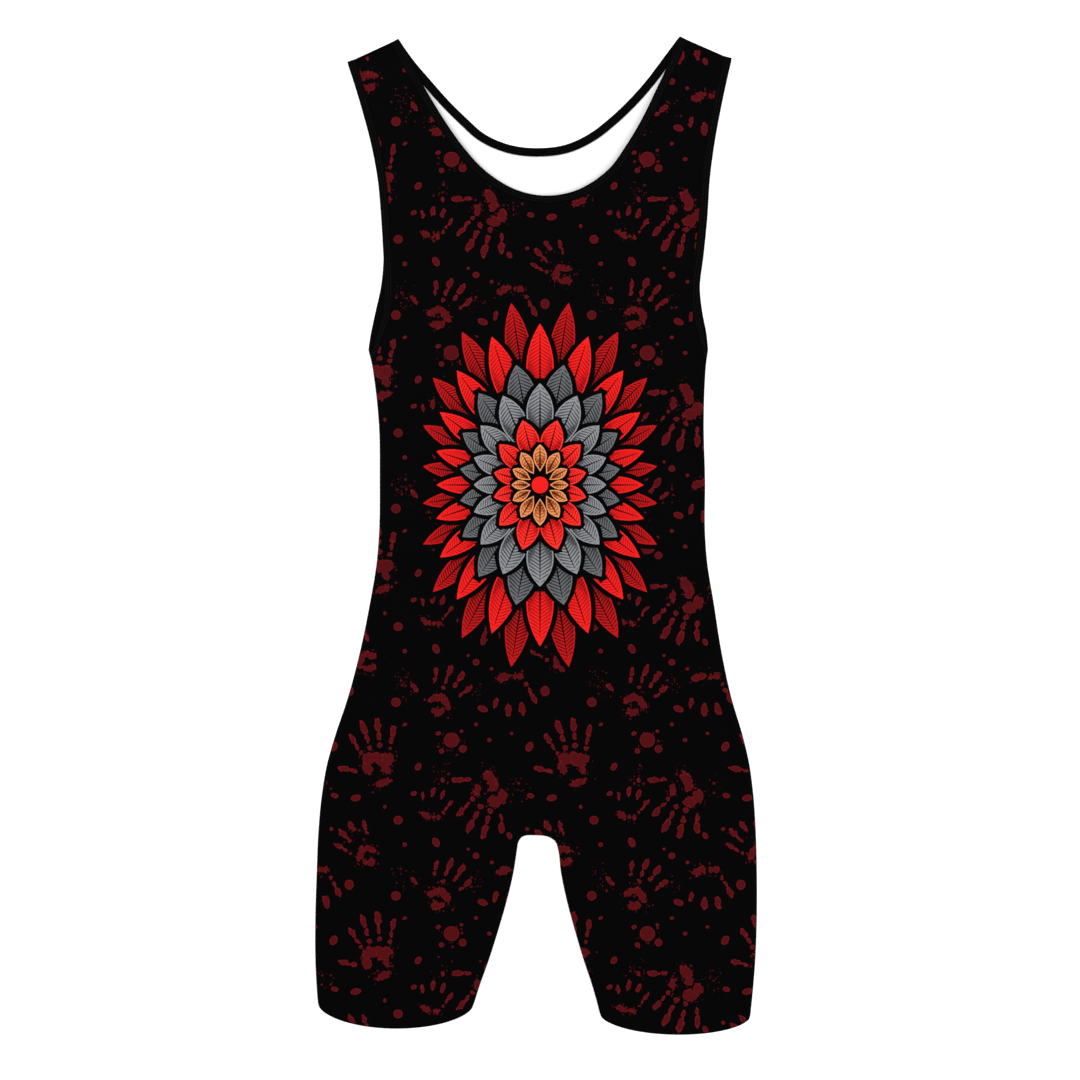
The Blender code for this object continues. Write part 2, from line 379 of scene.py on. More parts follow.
@dataclass(frozen=True)
class Layer:
    """Heights of a piece's outer face in one of the two layers."""

    face: Face
    wall: float
    front_underside: float = 1.8 * MM

    @property
    def radius(self) -> float:
        """Half the height of the folded stack."""
        return (self.front_underside + self.wall) / 2

    @property
    def facing(self) -> int:
        """1 where the outer face looks up, -1 where it looks down."""
        return 1 if self.face is Face.FRONT else -1

    def height(self, angle: float | np.ndarray) -> float | np.ndarray:
        """Height of the outer face where it is turned by an angle in radians from flat."""
        return self.radius + self.facing * self.radius * np.cos(angle)


# --------------------------------------------------------------------------- creases


def eased(values: np.ndarray) -> np.ndarray:
    """Values from 0 to 1 with a soft start and end."""
    t = np.clip(values, 0, 1)
    return t * t * (3 - 2 * t)


def distance_to(points: np.ndarray, line: np.ndarray) -> tuple[np.ndarray, np.ndarray]:
    """How far points lie from a line in plan.

    Args:
        points: Points in plan.
        line: The line's points.

    Returns:
        Each point's distance, and how far along the line it is nearest, from 0 to 1.
    """
    best = np.full(len(points), np.inf)
    place = np.zeros(len(points))
    run = run_of(line) / run_of(line)[-1]
    for a, b, run_a, run_b in zip(line, line[1:], run, run[1:]):
        ahead = b - a
        t = np.clip((points - a) @ ahead / (ahead @ ahead), 0, 1)
        away = np.linalg.norm(points - a - t[:, None] * ahead, axis=1)
        closer = away < best
        best[closer] = away[closer]
        place[closer] = (run_a + t * (run_b - run_a))[closer]
    return best, place


def nearest(points: np.ndarray, lines: Iterable[np.ndarray]) -> np.ndarray:
    """How far points lie from the nearest of several lines in plan."""
    return np.min([distance_to(points, line)[0] for line in lines], axis=0)


@dataclass(frozen=True)
class Fold:
    """A soft ridge along a bent line in plan, or a trough where its height is negative."""

    start: tuple[float, float]
    middle: tuple[float, float]
    end: tuple[float, float]
    height: float
    width: float
    steps: int = 16
    head: float = 0.06  # how far into its rise it starts, which is at a seam
    fullness: float = 0.8  # under 1, it rises fast and stays high

    def heights(self, points: np.ndarray) -> np.ndarray:
        """Heights in millimetres at points in plan, in millimetres.

        Args:
            points: The points.

        Returns:
            The height at each.
        """
        t = np.linspace(0, 1, self.steps + 1)[:, None]
        line = (1 - t) ** 2 * self.start + 2 * t * (1 - t) * np.array(self.middle) + t**2 * self.end
        near, place = distance_to(points, line)
        risen = np.clip(self.head + (1 - self.head) * place, 0, 1)
        fade = np.sin(np.pi * risen) ** self.fullness
        return self.height * fade * np.exp(-((near / self.width) ** 2))


@dataclass(frozen=True)
class Relief:
    """How the front layer rises and falls over the flat back, in millimetres."""

    cut: Cut
    puff: float = 0.8  # how far the middle stands above the seams
    puff_run: float = 45
    bound_share: float = 0.55  # how much of the puff is left beside a bound edge
    allowance: float = 0.32  # seam allowances that press through beside a seam
    allowance_width: float = 8
    allowance_edge: float = 2.5  # over what run they rise and fall
    waves: float = 0.16  # height of the broad, shallow waves
    seam_run: float = 9  # from a seam to where creases have their full height
    hem_lift: float = 1.3
    hem_run: float = 26
    hem_drop: float = 14  # how far below its corners a hem lifts most
    strap_flat: float = 18  # how much of a strap's end lies flat
    strap_run: float = 30  # from there to where the relief has its full height
    thinning: int = 12  # every so many points of a line are enough to measure from
    folds: tuple[Fold, ...] = (
        Fold((-147, 152), (-120, 130), (-84, 124), 1.2, 7),
        Fold((-144, 130), (-112, 106), (-90, 86), -0.35, 6),
        Fold((-141, 112), (-116, 86), (-104, 60), 0.7, 6),
        Fold((150, 150), (124, 124), (90, 113), 1.1, 8),
        Fold((151, 124), (124, 102), (104, 95), -0.3, 6),
        Fold((150, 106), (126, 84), (112, 52), 0.6, 7),
        Fold((-139, 24), (-104, 14), (-56, 20), 0.9, 9),
        Fold((-140, -8), (-112, -20), (-80, -18), 0.6, 7),
        Fold((151, 6), (118, -4), (74, 2), 0.8, 8),
        Fold((154, -28), (126, -37), (98, -33), 0.5, 6),
        Fold((-150, -66), (-120, -84), (-92, -86), 0.4, 8),
        Fold((-20, -266), (-52, -236), (-98, -226), 1.3, 9),
        Fold((22, -268), (60, -234), (106, -228), 1.2, 8),
        Fold((-3, -266), (-9, -228), (-2, -186), 0.8, 8),
        Fold((-22, -290), (-62, -272), (-112, -274), -0.35, 8),
        Fold((26, -288), (66, -268), (108, -266), -0.3, 7),
        Fold((-26, -312), (-66, -298), (-118, -306), 0.7, 8),
        Fold((28, -314), (72, -304), (116, -300), 0.7, 9),
        Fold((-156, -322), (-149, -372), (-156, -424), 0.7, 9),
        Fold((-100, -346), (-93, -392), (-100, -440), 0.5, 8),
        Fold((152, -336), (145, -380), (152, -430), 0.6, 8),
        Fold((92, -342), (98, -390), (90, -444), 0.6, 9),
        Fold((-146, 406), (-132, 352), (-116, 300), 0.5, 8),
        Fold((150, 404), (137, 350), (124, 304), 0.5, 9),
        Fold((-62, 318), (-52, 288), (-60, 252), 0.5, 8),
        Fold((6, 292), (12, 262), (5, 226), 0.6, 9),
        Fold((84, 322), (72, 292), (80, 258), 0.5, 8),
        Fold((-128, 208), (-96, 220), (-58, 214), 0.45, 9),
        Fold((132, 214), (102, 226), (70, 222), 0.4, 9),
    )

    def heights(self, points: np.ndarray) -> np.ndarray:
        """How far the front layer stands above its flat height.

        Args:
            points: Points in plan, in metres.

        Returns:
            The rise at each point, in metres.
        """
        plan = points / MM
        x, y = plan.T
        cut, front = self.cut, Face.FRONT
        sewn = [line for side in Side for line in (cut.side_seam(side), cut.inseam(side))]
        edges = [cut.armhole(side, front) for side in Side]
        edges += [cut.neck(front, side) for side in Side]
        seams, bound = (
            nearest(plan, (line[:: self.thinning] / MM for line in lines))
            for lines in (sewn, edges)
        )
        puffed = self.bound_share + (1 - self.bound_share) * eased(bound / self.puff_run)
        rise = self.puff * eased(seams / self.puff_run) * puffed
        beyond = eased((seams - self.allowance_width) / self.allowance_edge)
        rise += self.allowance * (1 - beyond) * eased(seams / self.allowance_edge)
        rise += self.hem_lift * self.lifted_hems(x, y)
        slow = np.sin(x / 31 + np.sin(y / 47)) * np.sin(y / 38 + 1.3)
        slow += 0.6 * np.sin((x + y) / 23 + 0.7)
        creases = self.waves * slow + sum(fold.heights(plan) for fold in self.folds)
        down = cut.length / 2 / MM - y
        strap = eased((down - self.strap_flat) / self.strap_run)
        return MM * (rise + creases * eased(seams / self.seam_run)) * strap

    def lifted_hems(self, x: np.ndarray, y: np.ndarray) -> np.ndarray:
        """From 0 to 1, how far each point of the plan lifts at a leg opening.

        Args:
            x: The points' X in millimetres.
            y: The points' Y in millimetres.

        Returns:
            The share at each point.
        """
        found = np.zeros(len(x))
        for side in Side:
            names = ("hem_outer", "hem_inner")
            ends = np.array([self.cut.corner(side, name) for name in names]) / MM
            middle, half = ends.mean(axis=0), np.linalg.norm(ends[0] - ends[1]) / 2
            across = 1 - np.clip(abs(x - middle[0]) / half, 0, 1) ** 2
            low = np.clip(1 - (y - middle[1] + self.hem_drop) / self.hem_run, 0, 1)
            found = np.maximum(found, across * low**1.5)
        return found


# --------------------------------------------------------------------------- meshes


def new_object(name: str, points: np.ndarray, faces: Sequence[Sequence[int]]) -> bpy.types.Object:
    """An object at the origin with a mesh of these points and faces.

    Args:
        name: Its name.
        points: The mesh's points.
        faces: Each face's point numbers.

    Returns:
        The object, linked to the scene.
    """
    mesh = bpy.data.meshes.new(name)
    mesh.from_pydata(points.tolist(), [], [list(map(int, face)) for face in faces])
    mesh.validate()
    obj = bpy.data.objects.new(name, mesh)
    bpy.context.scene.collection.objects.link(obj)
    return obj


def vertex_normals(points: np.ndarray, faces: np.ndarray) -> np.ndarray:
    """Unit normals of a sheet's points, weighed by the faces round them.

    Args:
        points: The sheet's points.
        faces: Its quads.

    Returns:
        A normal for each point.
    """
    corners = points[faces]
    square = np.cross(corners[:, 2] - corners[:, 0], corners[:, 3] - corners[:, 1])
    found = np.zeros_like(points)
    for k in range(4):
        np.add.at(found, faces[:, k], square)
    return unit(found)


def boundary(faces: np.ndarray) -> np.ndarray:
    """The directed edges that only one face has.

    Args:
        faces: A sheet's quads.

    Returns:
        Each edge as its start and end.
    """
    edges = np.concatenate([faces[:, [k, (k + 1) % 4]] for k in range(4)])
    key = {(int(a), int(b)) for a, b in edges}
    return np.array([(a, b) for a, b in edges if (int(b), int(a)) not in key])


def dress(obj: bpy.types.Object, materials: Sequence[bpy.types.Material], plan: np.ndarray) -> None:
    """Gives an object its materials, smooth shading and its places on the cut.

    Args:
        obj: The object.
        materials: Its material slots.
        plan: Each vertex's place on the cut, in metres.
    """
    for material in materials:
        obj.data.materials.append(material)
    obj.data.shade_smooth()
    attribute = obj.data.attributes.new(CLOTH, "FLOAT_VECTOR", "POINT")
    places = np.zeros((len(plan), 3), np.float32)
    places[:, :2] = plan / MM
    attribute.data.foreach_set("vector", places.ravel())


def settle(obj: bpy.types.Object, slot: str, *nodes: str) -> None:
    """Lets a piece ride on the garment's body in place of its solids.

    Args:
        obj: The piece.
        slot: Not used.
        *nodes: The solids whose place it takes.
    """
    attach(obj, BODY)
    if nodes:
        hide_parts(*nodes)


class Rim(NamedTuple):
    """A line in plan that cloth turns in at, and the ways into the cloth at its points."""

    line: np.ndarray
    ways: np.ndarray

    @classmethod
    def of(cls, line: np.ndarray, to_left: bool) -> "Rim":
        """A line with the ways to its left or its right."""
        return cls(line, inward(line, to_left))

    def part(self, first: int | None, end: int | None) -> "Rim":
        """The rim between two of its points."""
        return Rim(self.line[first:end], self.ways[first:end])

    def spread(self, count: int, start: float = 0.0, lip: Sequence[float] = ()) -> "Rim":
        """The same rim with other points, placed as the function of this name places them."""
        points = spread(self.line, count, start, lip)
        return Rim(points, unit(spread(self.line, count, start, lip, self.ways)))


@dataclass
class Panel:
    """A front or back panel, as a closed shell of knit whose seams turn in."""

    cut: Cut
    face: Face
    relief: Relief
    outside: bpy.types.Material
    inside: bpy.types.Material
    wall: float = 1.2 * MM
    columns: int = 66  # from the outer edge to the middle
    arch_columns: int = 12
    strap_rows: int = 96
    torso_rows: int = 138
    leg_rows: int = 56
    arch_run: float = 18 * MM
    hip_up: float = 170
    hem_power: float = 0.55
    turn: tuple[float, ...] = (90, 78, 66, 54, 42, 30, 20, 10)
    first_turn: float = 0.6 * MM  # from the underarm to where the side seam is closed
    crotch_blend: int = 16  # rows above the crotch whose columns close up towards the legs
    allowance: float = 7 * MM  # how far the seams' dark allowances show inside the underarms
    lip: tuple[float, ...] = (0.6 * MM, 0.36 * MM, 0.17 * MM, 0.05 * MM, 0.0)
    least_share: float = 0.02  # of the wall squared, which is left at a rounded edge's rim
    strap_top: float = 60 * MM  # how far below the top the wrap over the shoulder lies
    layer: Layer = field(init=False)

    def __post_init__(self) -> None:
        """Works out the layer's heights."""
        self.layer = Layer(self.face, self.wall)

    def strap_edges(self, side: Side) -> tuple[np.ndarray, np.ndarray]:
        """The panel's edges down from a strap, at the armhole and at the neck."""
        inset = self.cut.panel_inset
        return self.cut.armhole(side, self.face, inset), self.cut.neck(self.face, side, inset)

    def turned(self, edge: np.ndarray, into: np.ndarray, share: float) -> np.ndarray:
        """Points where the panel turns in towards a seam, from its rim to the first flat point.

        Args:
            edge: The rim in plan.
            into: The way into the cloth.
            share: The share of the whole turn.

        Returns:
            The points.
        """
        angles = np.radians((*self.turn, 0))
        reach = self.layer.radius * (np.sin(angles[0]) - np.sin(angles))
        plan = edge + reach[:, None] * into
        return np.column_stack([plan, self.layer.height(share * angles)])

    def half_row(
        self,
        outer: np.ndarray,
        inner: np.ndarray,
        outer_rim: tuple[np.ndarray, float] | None = None,
        inner_rim: tuple[np.ndarray, float] | None = None,
        columns: int | None = None,
        hem: float = 0.0,
        bow: float = 0.0,
        layout: np.ndarray | None = None,
        blend: float = 0.0,
    ) -> np.ndarray:
        """Half of a row, from its outer edge to its inner one.

        Args:
            outer: The outer end in plan.
            inner: The inner end in plan.
            outer_rim: The way into the cloth and the share of the turn, where the end is a seam.
            inner_rim: The same for the inner end.
            columns: How many steps the row has.
            hem: From 0 to 1 at the leg opening, where the row becomes a round curve.
            bow: How far that curve hangs.
            layout: Another spacing of the row's flat points, from 0 to 1.
            blend: The share of that spacing.

        Returns:
            The row's points on the outer face.
        """
        start, end = np.empty((0, 3)), np.empty((0, 3))
        first, last = outer, inner
        if outer_rim:
            points = self.turned(outer, *outer_rim)
            start, first = points[:-1], points[-1, :2]
        if inner_rim:
            points = self.turned(inner, *inner_rim)
            end, last = points[:-1][::-1], points[-1, :2]
        even = np.linspace(0, 1, (columns or self.columns) + 1 - len(start) - len(end))
        share = (1 - hem) * even + hem * (1 - np.cos(np.pi * even)) / 2
        if layout is not None:
            share = (1 - blend) * even + blend * layout
        plan = first + share[:, None] * (last - first)
        flat = np.column_stack([plan, np.full(len(plan), self.layer.height(0.0))])
        row = np.vstack([start, flat, end])
        width = inner - outer
        across = np.clip((row[:, :2] - outer) @ width / (width @ width), 0, 1)
        row[:, 1] -= hem * bow * (1 - (2 * across - 1) ** 2) ** self.hem_power
        return row

    def over_shoulder(self, side: Side, outer: np.ndarray, inner: np.ndarray) -> list[np.ndarray]:
        """Rows from the shoulder seam over the fold to the back.

        Args:
            side: The side of the garment.
            outer: The strap's outer end in plan.
            inner: Its inner end.

        Returns:
            The rows.
        """
        end = outer + np.linspace(0, 1, self.columns + 1)[:, None] * (inner - outer)
        down = self.cut.strap_end(side)[1]
        radius = self.layer.radius
        lap = [self.cut.shoulder_lap - distance for distance in (0.0, *self.lip[-2::-1])]
        rows = [(reach, 2 * radius) for reach in lap]
        for angle in np.radians(SHOULDER_TURN):
            rows.append((radius * (1 - math.sin(angle)), radius * (1 + math.cos(angle))))
        return [np.column_stack([end + reach * down, np.full(len(end), z)]) for reach, z in rows]

    def strap(self, side: Side) -> list[np.ndarray]:
        """The rows from the shoulder down to the neckline's lowest point.

        Args:
            side: The side of the garment.

        Returns:
            The rows.
        """
        arm, collar = self.strap_edges(side)
        start = self.cut.flat_start(self.face)
        if self.face is Face.BACK:
            rows = self.over_shoulder(side, arm[0], collar[0])
        else:
            edge = start + np.array(self.lip[:0:-1])
            rows = [self.half_row(*ends) for ends in zip(read_at(arm, edge), read_at(collar, edge))]
            start += self.lip[0]
        down = zip(*(spread(line, self.strap_rows, start) for line in (arm, collar)))
        return rows + [self.half_row(*ends) for ends in down]

    def torso(self, seam: Rim, neck: np.ndarray, below: np.ndarray) -> list[np.ndarray]:
        """The rows from the underarm to the crotch, between a side seam and the middle.

        Args:
            seam: The side seam down to the hip.
            neck: The neckline's lowest point.
            below: The crotch's first row, whose spacing the lowest rows take on.

        Returns:
            The rows.
        """
        layout = run_of(below[len(self.turn) :, :2])
        layout /= layout[-1]
        count, start = self.torso_rows, self.first_turn
        middle = np.linspace(neck, self.cut.at(*CROTCH), 200)
        down = zip(*seam.spread(count, start), spread(middle, count, start))
        rows = []
        for left, (outer, into, inner) in zip(reversed(range(count)), down):
            blend = float(eased(np.array(1 - left / self.crotch_blend)))
            rows.append(self.half_row(outer, inner, (into, 1.0), layout=layout, blend=blend))
        return rows

    def leg(self, side: Side, seam: Rim, inseam: Rim) -> list[np.ndarray]:
        """The rows of a leg, from below the crotch to the rounded edge of its opening.

        Args:
            side: The side of the garment.
            seam: The side seam from the hip down.
            inseam: The leg's inner seam.

        Returns:
            The rows.
        """
        columns = self.columns - self.arch_columns
        bow = CORNERS[side].hem_bow * MM
        hems = [*np.linspace(0, 1, self.leg_rows + 1)[:-1] ** 2, *(1.0 for _ in self.lip)]
        outer, inner = (rim.spread(self.leg_rows, lip=self.lip) for rim in (seam, inseam))
        down = zip(*outer, *inner, hems)
        next(down)  # the crotch's last row is there already
        return [
            self.half_row(start, end, (into, 1.0), (end_into, 1.0), columns, hem, bow)
            for start, into, end, end_into, hem in down
        ]

    def half(self, side: Side) -> tuple[list[np.ndarray], int]:
        """The rows of half a panel, and how many of them lie above the neckline's lowest point.

        Args:
            side: The side of the garment.

        Returns:
            The rows from the top, and that number.
        """
        rows = self.strap(side)
        above = len(rows) - 1
        seam = Rim.of(self.cut.side_seam(side), to_left=side is Side.LEFT)
        inseam = Rim.of(self.cut.inseam(side), to_left=side is Side.RIGHT)
        hip = int(np.argmin(abs(seam.line[:, 1] - self.cut.at(self.hip_up, 0)[1])))
        top = int(np.searchsorted(run_of(inseam.line), self.arch_run))
        arch = inseam.part(None, top + 1).spread(self.arch_columns)
        crotch = self.crotch_rows(
            seam.line[hip - 1 : hip + 1], seam.ways[hip], arch.line[::-1], arch.ways[::-1]
        )
        neck = self.strap_edges(side)[1][-1]
        rows += self.torso(seam.part(None, hip + 1), neck, crotch[0]) + crotch
        rows += self.leg(side, seam.part(hip, None), inseam.part(top, None))
        return rows, above

    def crotch_rows(
        self, seam: np.ndarray, seam_in: np.ndarray, arch: np.ndarray, ways: np.ndarray
    ) -> list[np.ndarray]:
        """Rows that turn in towards the seam at the crotch, down to the one that lies on it.

        Args:
            seam: Two points of the side seam at the hip, the upper one first.
            seam_in: The way into the cloth there.
            arch: The arch's points in plan, from where the leg begins up to the middle.
            ways: The ways into the cloth there.

        Returns:
            A flat row and one for each angle of the turn.
        """
        radius = self.layer.radius
        reaches = radius * (1 - np.sin(np.radians((0, *self.turn[::-1]))))
        seam_up = unit(seam[0] - seam[1])
        into = ways[0]
        up = unit(arch[1] - arch[0] - ((arch[1] - arch[0]) @ into) * into)
        flat = self.columns + 1 - 2 * len(self.turn) - self.arch_columns
        rows = []
        for reach in reaches:
            side = self.turned(seam[1] + reach * seam_up, seam_in, 1.0)
            corner = arch[0] + reach * (into + up)
            leg = corner + reaches[:, None] * (into - up)
            level = side[-1, :2] + np.linspace(0, 1, flat)[:, None] * (leg[0] - side[-1, :2])
            plan = np.vstack([level, leg[1:], arch[1:] + reach * ways[1:]])
            beyond = np.full(len(arch) - 1, reach)
            away = np.concatenate([np.full(flat, radius), reach + reaches[1:], beyond])
            turn = np.arcsin(1 - np.minimum(away / radius, 1))
            rows.append(np.vstack([side[:-1], np.column_stack([plan, self.layer.height(turn)])]))
        return rows

    def sheet(self) -> tuple[np.ndarray, np.ndarray]:
        """The outer face's points and quads, from both halves.

        Returns:
            The points, and the point numbers of each quad.
        """
        (left, above), (right, _) = (self.half(side) for side in Side)
        joined = range(above, above + self.torso_rows + len(self.turn) + 2)
        points: list[np.ndarray] = []
        numbers: dict[Side, list[list[int]]] = {Side.LEFT: [], Side.RIGHT: []}
        for side, rows in ((Side.LEFT, left), (Side.RIGHT, right)):
            for i, row in enumerate(rows):
                shared = side is Side.RIGHT and i in joined
                fresh = row[:-1] if shared else row
                first = len(points)
                points.extend(fresh)
                index = list(range(first, first + len(fresh)))
                numbers[side].append(index + [numbers[Side.LEFT][i][-1]] if shared else index)
        faces = []
        for side, rows in numbers.items():
            over = (side is Side.LEFT) == (self.face is Face.FRONT)
            for upper, lower in zip(rows, rows[1:]):
                for a, b, c, d in zip(upper, lower, lower[1:], upper[1:]):
                    faces.append((a, b, c, d) if over else (d, c, b, a))
        return np.array(points), np.array(faces)

    def lip_share(self, points: np.ndarray) -> np.ndarray:
        """How thick the wall is, which thins to a rounded edge at the hems and shoulders.

        Args:
            points: The outer face's points.

        Returns:
            A share of the wall's thickness for each.
        """
        lines = []
        for side in Side:
            lines.append(self.half(side)[0][-1][:, :2])
            arm, collar = self.strap_edges(side)
            if self.face is Face.FRONT:
                start = [self.cut.flat_start(self.face)]
                lines.append(np.vstack([read_at(arm, start), read_at(collar, start)]))
            else:
                lap = self.cut.shoulder_lap * self.cut.strap_end(side)[1]
                lines.append(np.vstack([arm[0] + lap, collar[0] + lap]))
        near = nearest(points[:, :2], lines)
        if self.face is Face.BACK:  # the wrap's underside lies below the lap's edge
            below = points[:, 2] < self.layer.radius
            strap = points[:, 1] > self.cut.length / 2 - self.strap_top
            near[below & strap] = np.inf
        share = 1 - np.clip(near / self.lip[0], 0, 1)
        return np.sqrt(np.clip(1 - share**2, self.least_share, 1))

    def unrolled(self, points: np.ndarray) -> np.ndarray:
        """Each point's place on the cut, with what wraps over the shoulders laid out flat.

        Args:
            points: The outer face's points.

        Returns:
            The places in plan, in metres.
        """
        plan = points[:, :2].copy()
        if self.face is Face.FRONT:
            return plan
        radius = self.layer.radius
        for side in Side:
            down = self.cut.strap_end(side)[1]
            reach = (plan - self.cut.corner(side, "strap_inner")) @ down
            wrap = (reach < self.cut.shoulder_lap + radius) & (points[:, 2] > HAIR * MM)
            wrap &= (points[:, 0] * side.value > 0) & (points[:, 1] > self.cut.length / 4)
            turn = np.arccos(np.clip(points[wrap, 2] / radius - 1, -1, 1))
            beyond = np.where(turn < HAIR, reach[wrap] - radius, 0)
            flat = radius - radius * (np.pi - turn) - beyond
            plan[wrap] += (flat - reach[wrap])[:, None] * down
        return plan * (-1, 1)

    def build(self) -> bpy.types.Object:
        """Makes the panel's shell.

        Returns:
            The finished piece.
        """
        outer, faces = self.sheet()
        places = self.unrolled(outer)
        if self.face is Face.FRONT:
            outer[:, 2] += self.relief.heights(outer[:, :2])
        normals = vertex_normals(outer, faces)
        share = self.lip_share(outer)[:, None]
        outer -= normals * self.wall / 2 * (1 - share)
        inner = outer - normals * self.wall * share
        count = len(outer)
        rim = [(b, a, a + count, b + count) for a, b in boundary(faces)]
        shell = np.vstack([faces, faces[:, ::-1] + count, np.array(rim)])
        obj = new_object(f"{self.face.value}_panel_cloth", np.vstack([outer, inner]), shell)
        dress(obj, (self.outside, self.inside), np.tile(places, (2, 1)))
        middles = outer[faces].mean(axis=1)[:, :2]
        underarms = [np.array(self.cut.along(side, SIDE_SEAM[:1])[0]) for side in Side]
        near = np.min([np.linalg.norm(middles - place, axis=1) for place in underarms], axis=0)
        slots = np.zeros(len(shell), np.int32)
        slots[len(faces) : 2 * len(faces)] = near > self.allowance
        obj.data.polygons.foreach_set("material_index", slots)
        settle(obj, "printed_knit", f"{self.face.value}_panel")
        LOG.info("%s: %d triangles", obj.name, 2 * len(shell))
        return obj


class Station(NamedTuple):
    """A place along a binding: its edge, its inner border and the way that its outer face looks."""

    edge: np.ndarray
    border: np.ndarray
    normal: np.ndarray


@dataclass
class Binding:
    """A strip of knit folded over an edge and sewn down with two rows of stitches."""

    cut: Cut
    face: Face
    relief: Relief
    knit: bpy.types.Material
    name: str
    wall: float = 1.62 * MM
    step: float = 1.3 * MM
    groove: float = 0.13 * MM  # how deep the stitches pull in
    groove_half: float = 0.55 * MM
    swell: float = 0.04 * MM  # how far the cloth stands up between the grooves
    stitch_rise: float = 0.06 * MM  # from a groove's bottom to the thread's middle
    stitch_lines: tuple[float, float] = (2.6 * MM, 5.2 * MM)
    corner: tuple[tuple[float, float], ...] = ((-0.35, -0.03), (-0.08, -0.14), (0, -0.36))
    under_shares: tuple[float, ...] = (1, 0.7, 0.4)
    fold_points: int = 7
    sharp_angle: float = 60
    layer: Layer = field(init=False)

    def __post_init__(self) -> None:
        """Works out the layer's heights."""
        self.layer = Layer(self.face, self.wall)

    @property
    def shown_width(self) -> float:
        """The width of the strip's cut that shows, which is its outer face and the fold."""
        return self.cut.binding_width + math.pi * self.wall / 2

    def section(self) -> np.ndarray:
        """The closed section, as (distance from the edge, height from the outer face).

        Returns:
            The section's points in order.
        """
        width, wall = self.cut.binding_inset, self.wall
        half = wall / 2
        angles = np.linspace(-np.pi / 2, -3 * np.pi / 2, self.fold_points)
        fold = np.column_stack([half + half * np.cos(angles), -half + half * np.sin(angles)])
        first, second = (
            [(line - self.groove_half, 0.0), (line, -self.groove), (line + self.groove_half, 0.0)]
            for line in self.stitch_lines
        )
        crest = [(sum(self.stitch_lines) / 2, self.swell)]
        corner = [(width + out * MM, height * MM) for out, height in self.corner]
        bottom = [(width * share, -wall) for share in self.under_shares]
        return np.vstack([fold, first, crest, second, corner, bottom])

    def flat_stations(self, edge: np.ndarray, border: np.ndarray, start: float) -> list[Station]:
        """Stations along the flat stretch, from a distance down the strap.

        Args:
            edge: The bound edge in plan.
            border: The strip's inner border.
            start: The distance.

        Returns:
            The stations.
        """
        count = int(run_of(edge)[-1] / self.step)
        height = self.layer.height(0.0)
        normal = np.array((0, 0, self.layer.facing))
        pairs = zip(spread(edge, count, start), spread(border, count, start))
        return [Station(np.array((*a, height)), np.array((*b, height)), normal) for a, b in pairs]

    def wrap_stations(self, side: Side, edge: np.ndarray, border: np.ndarray) -> list[Station]:
        """Stations from the shoulder seam over the fold to the back.

        Args:
            side: The side of the garment.
            edge: The bound edge's end at the fold.
            border: The border's end there.

        Returns:
            The stations.
        """
        down = np.array((*self.cut.strap_end(side)[1], 0))
        radius = self.layer.radius
        reaches = [(self.cut.shoulder_lap, 0.0)]
        reaches += [(radius * (1 - math.sin(a)), a) for a in np.radians(SHOULDER_TURN)]
        found = []
        for reach, angle in reaches:
            rise = np.array((0, 0, radius * (1 + math.cos(angle))))
            normal = np.array((0, 0, math.cos(angle))) - down * math.sin(angle)
            places = (np.array((*end, 0)) + reach * down + rise for end in (edge, border))
            found.append(Station(*places, normal))
        return found

    def half(self, side: Side, edge: np.ndarray, border: np.ndarray) -> list[Station]:
        """Stations of one line from the shoulder on.

        Args:
            side: The side of the garment.
            edge: The bound edge in plan.
            border: The strip's inner border.

        Returns:
            The stations.
        """
        flat = self.flat_stations(edge, border, self.cut.flat_start(self.face))
        if self.face is Face.FRONT:
            return flat
        return self.wrap_stations(side, edge[0], border[0]) + flat

    def placed(self, station: Station, across: float, height: float) -> np.ndarray:
        """The point of the section at a station."""
        share = across / self.cut.binding_inset
        return station.edge + share * (station.border - station.edge) + height * station.normal

    def lifted(self, points: np.ndarray) -> np.ndarray:
        """Points with the front layer's relief.

        Args:
            points: Points on the strip.

        Returns:
            The same points, raised if they are at the front.
        """
        if self.face is Face.FRONT:
            points = points.copy()
            points[:, 2] += self.relief.heights(points[:, :2])
        return points

    def build(self, stations: list[Station]) -> bpy.types.Object:
        """Makes the strip.

        Args:
            stations: The places along it.

        Returns:
            The finished piece.
        """
        section = self.section()
        points = np.array([self.placed(s, c, h) for s in stations for c, h in section])
        size = len(section)
        faces: list[list[int]] = []
        for i in range(len(stations) - 1):
            a = i * size
            for k in range(size):
                n = (k + 1) % size
                faces.append([a + k, a + n, a + size + n, a + size + k])
        last = (len(stations) - 1) * size
        faces.append(list(range(size))[::-1])
        faces.append(list(range(last, last + size)))
        if self._inside_out(points, faces):
            faces = [face[::-1] for face in faces]
        points = self.lifted(points)
        obj = new_object(f"{self.name}_strip", points, faces)
        dress(obj, (self.knit,), points[:, :2])
        obj.data.set_sharp_from_angle(angle=math.radians(self.sharp_angle))
        settle(obj, "binding_knit", self.name)
        LOG.info("%s: %d stations", obj.name, len(stations))
        return obj

    @staticmethod
    def _inside_out(points: np.ndarray, faces: list[list[int]]) -> bool:
        """Whether a closed mesh has its faces pointing in.

        Args:
            points: The mesh's points.
            faces: Its faces.

        Returns:
            True if its volume comes out negative.
        """
        volume = 0.0
        for face in faces:
            corners = points[face]
            for b, c in zip(corners[1:], corners[2:]):
                volume += float(corners[0] @ np.cross(b, c))
        return volume < 0

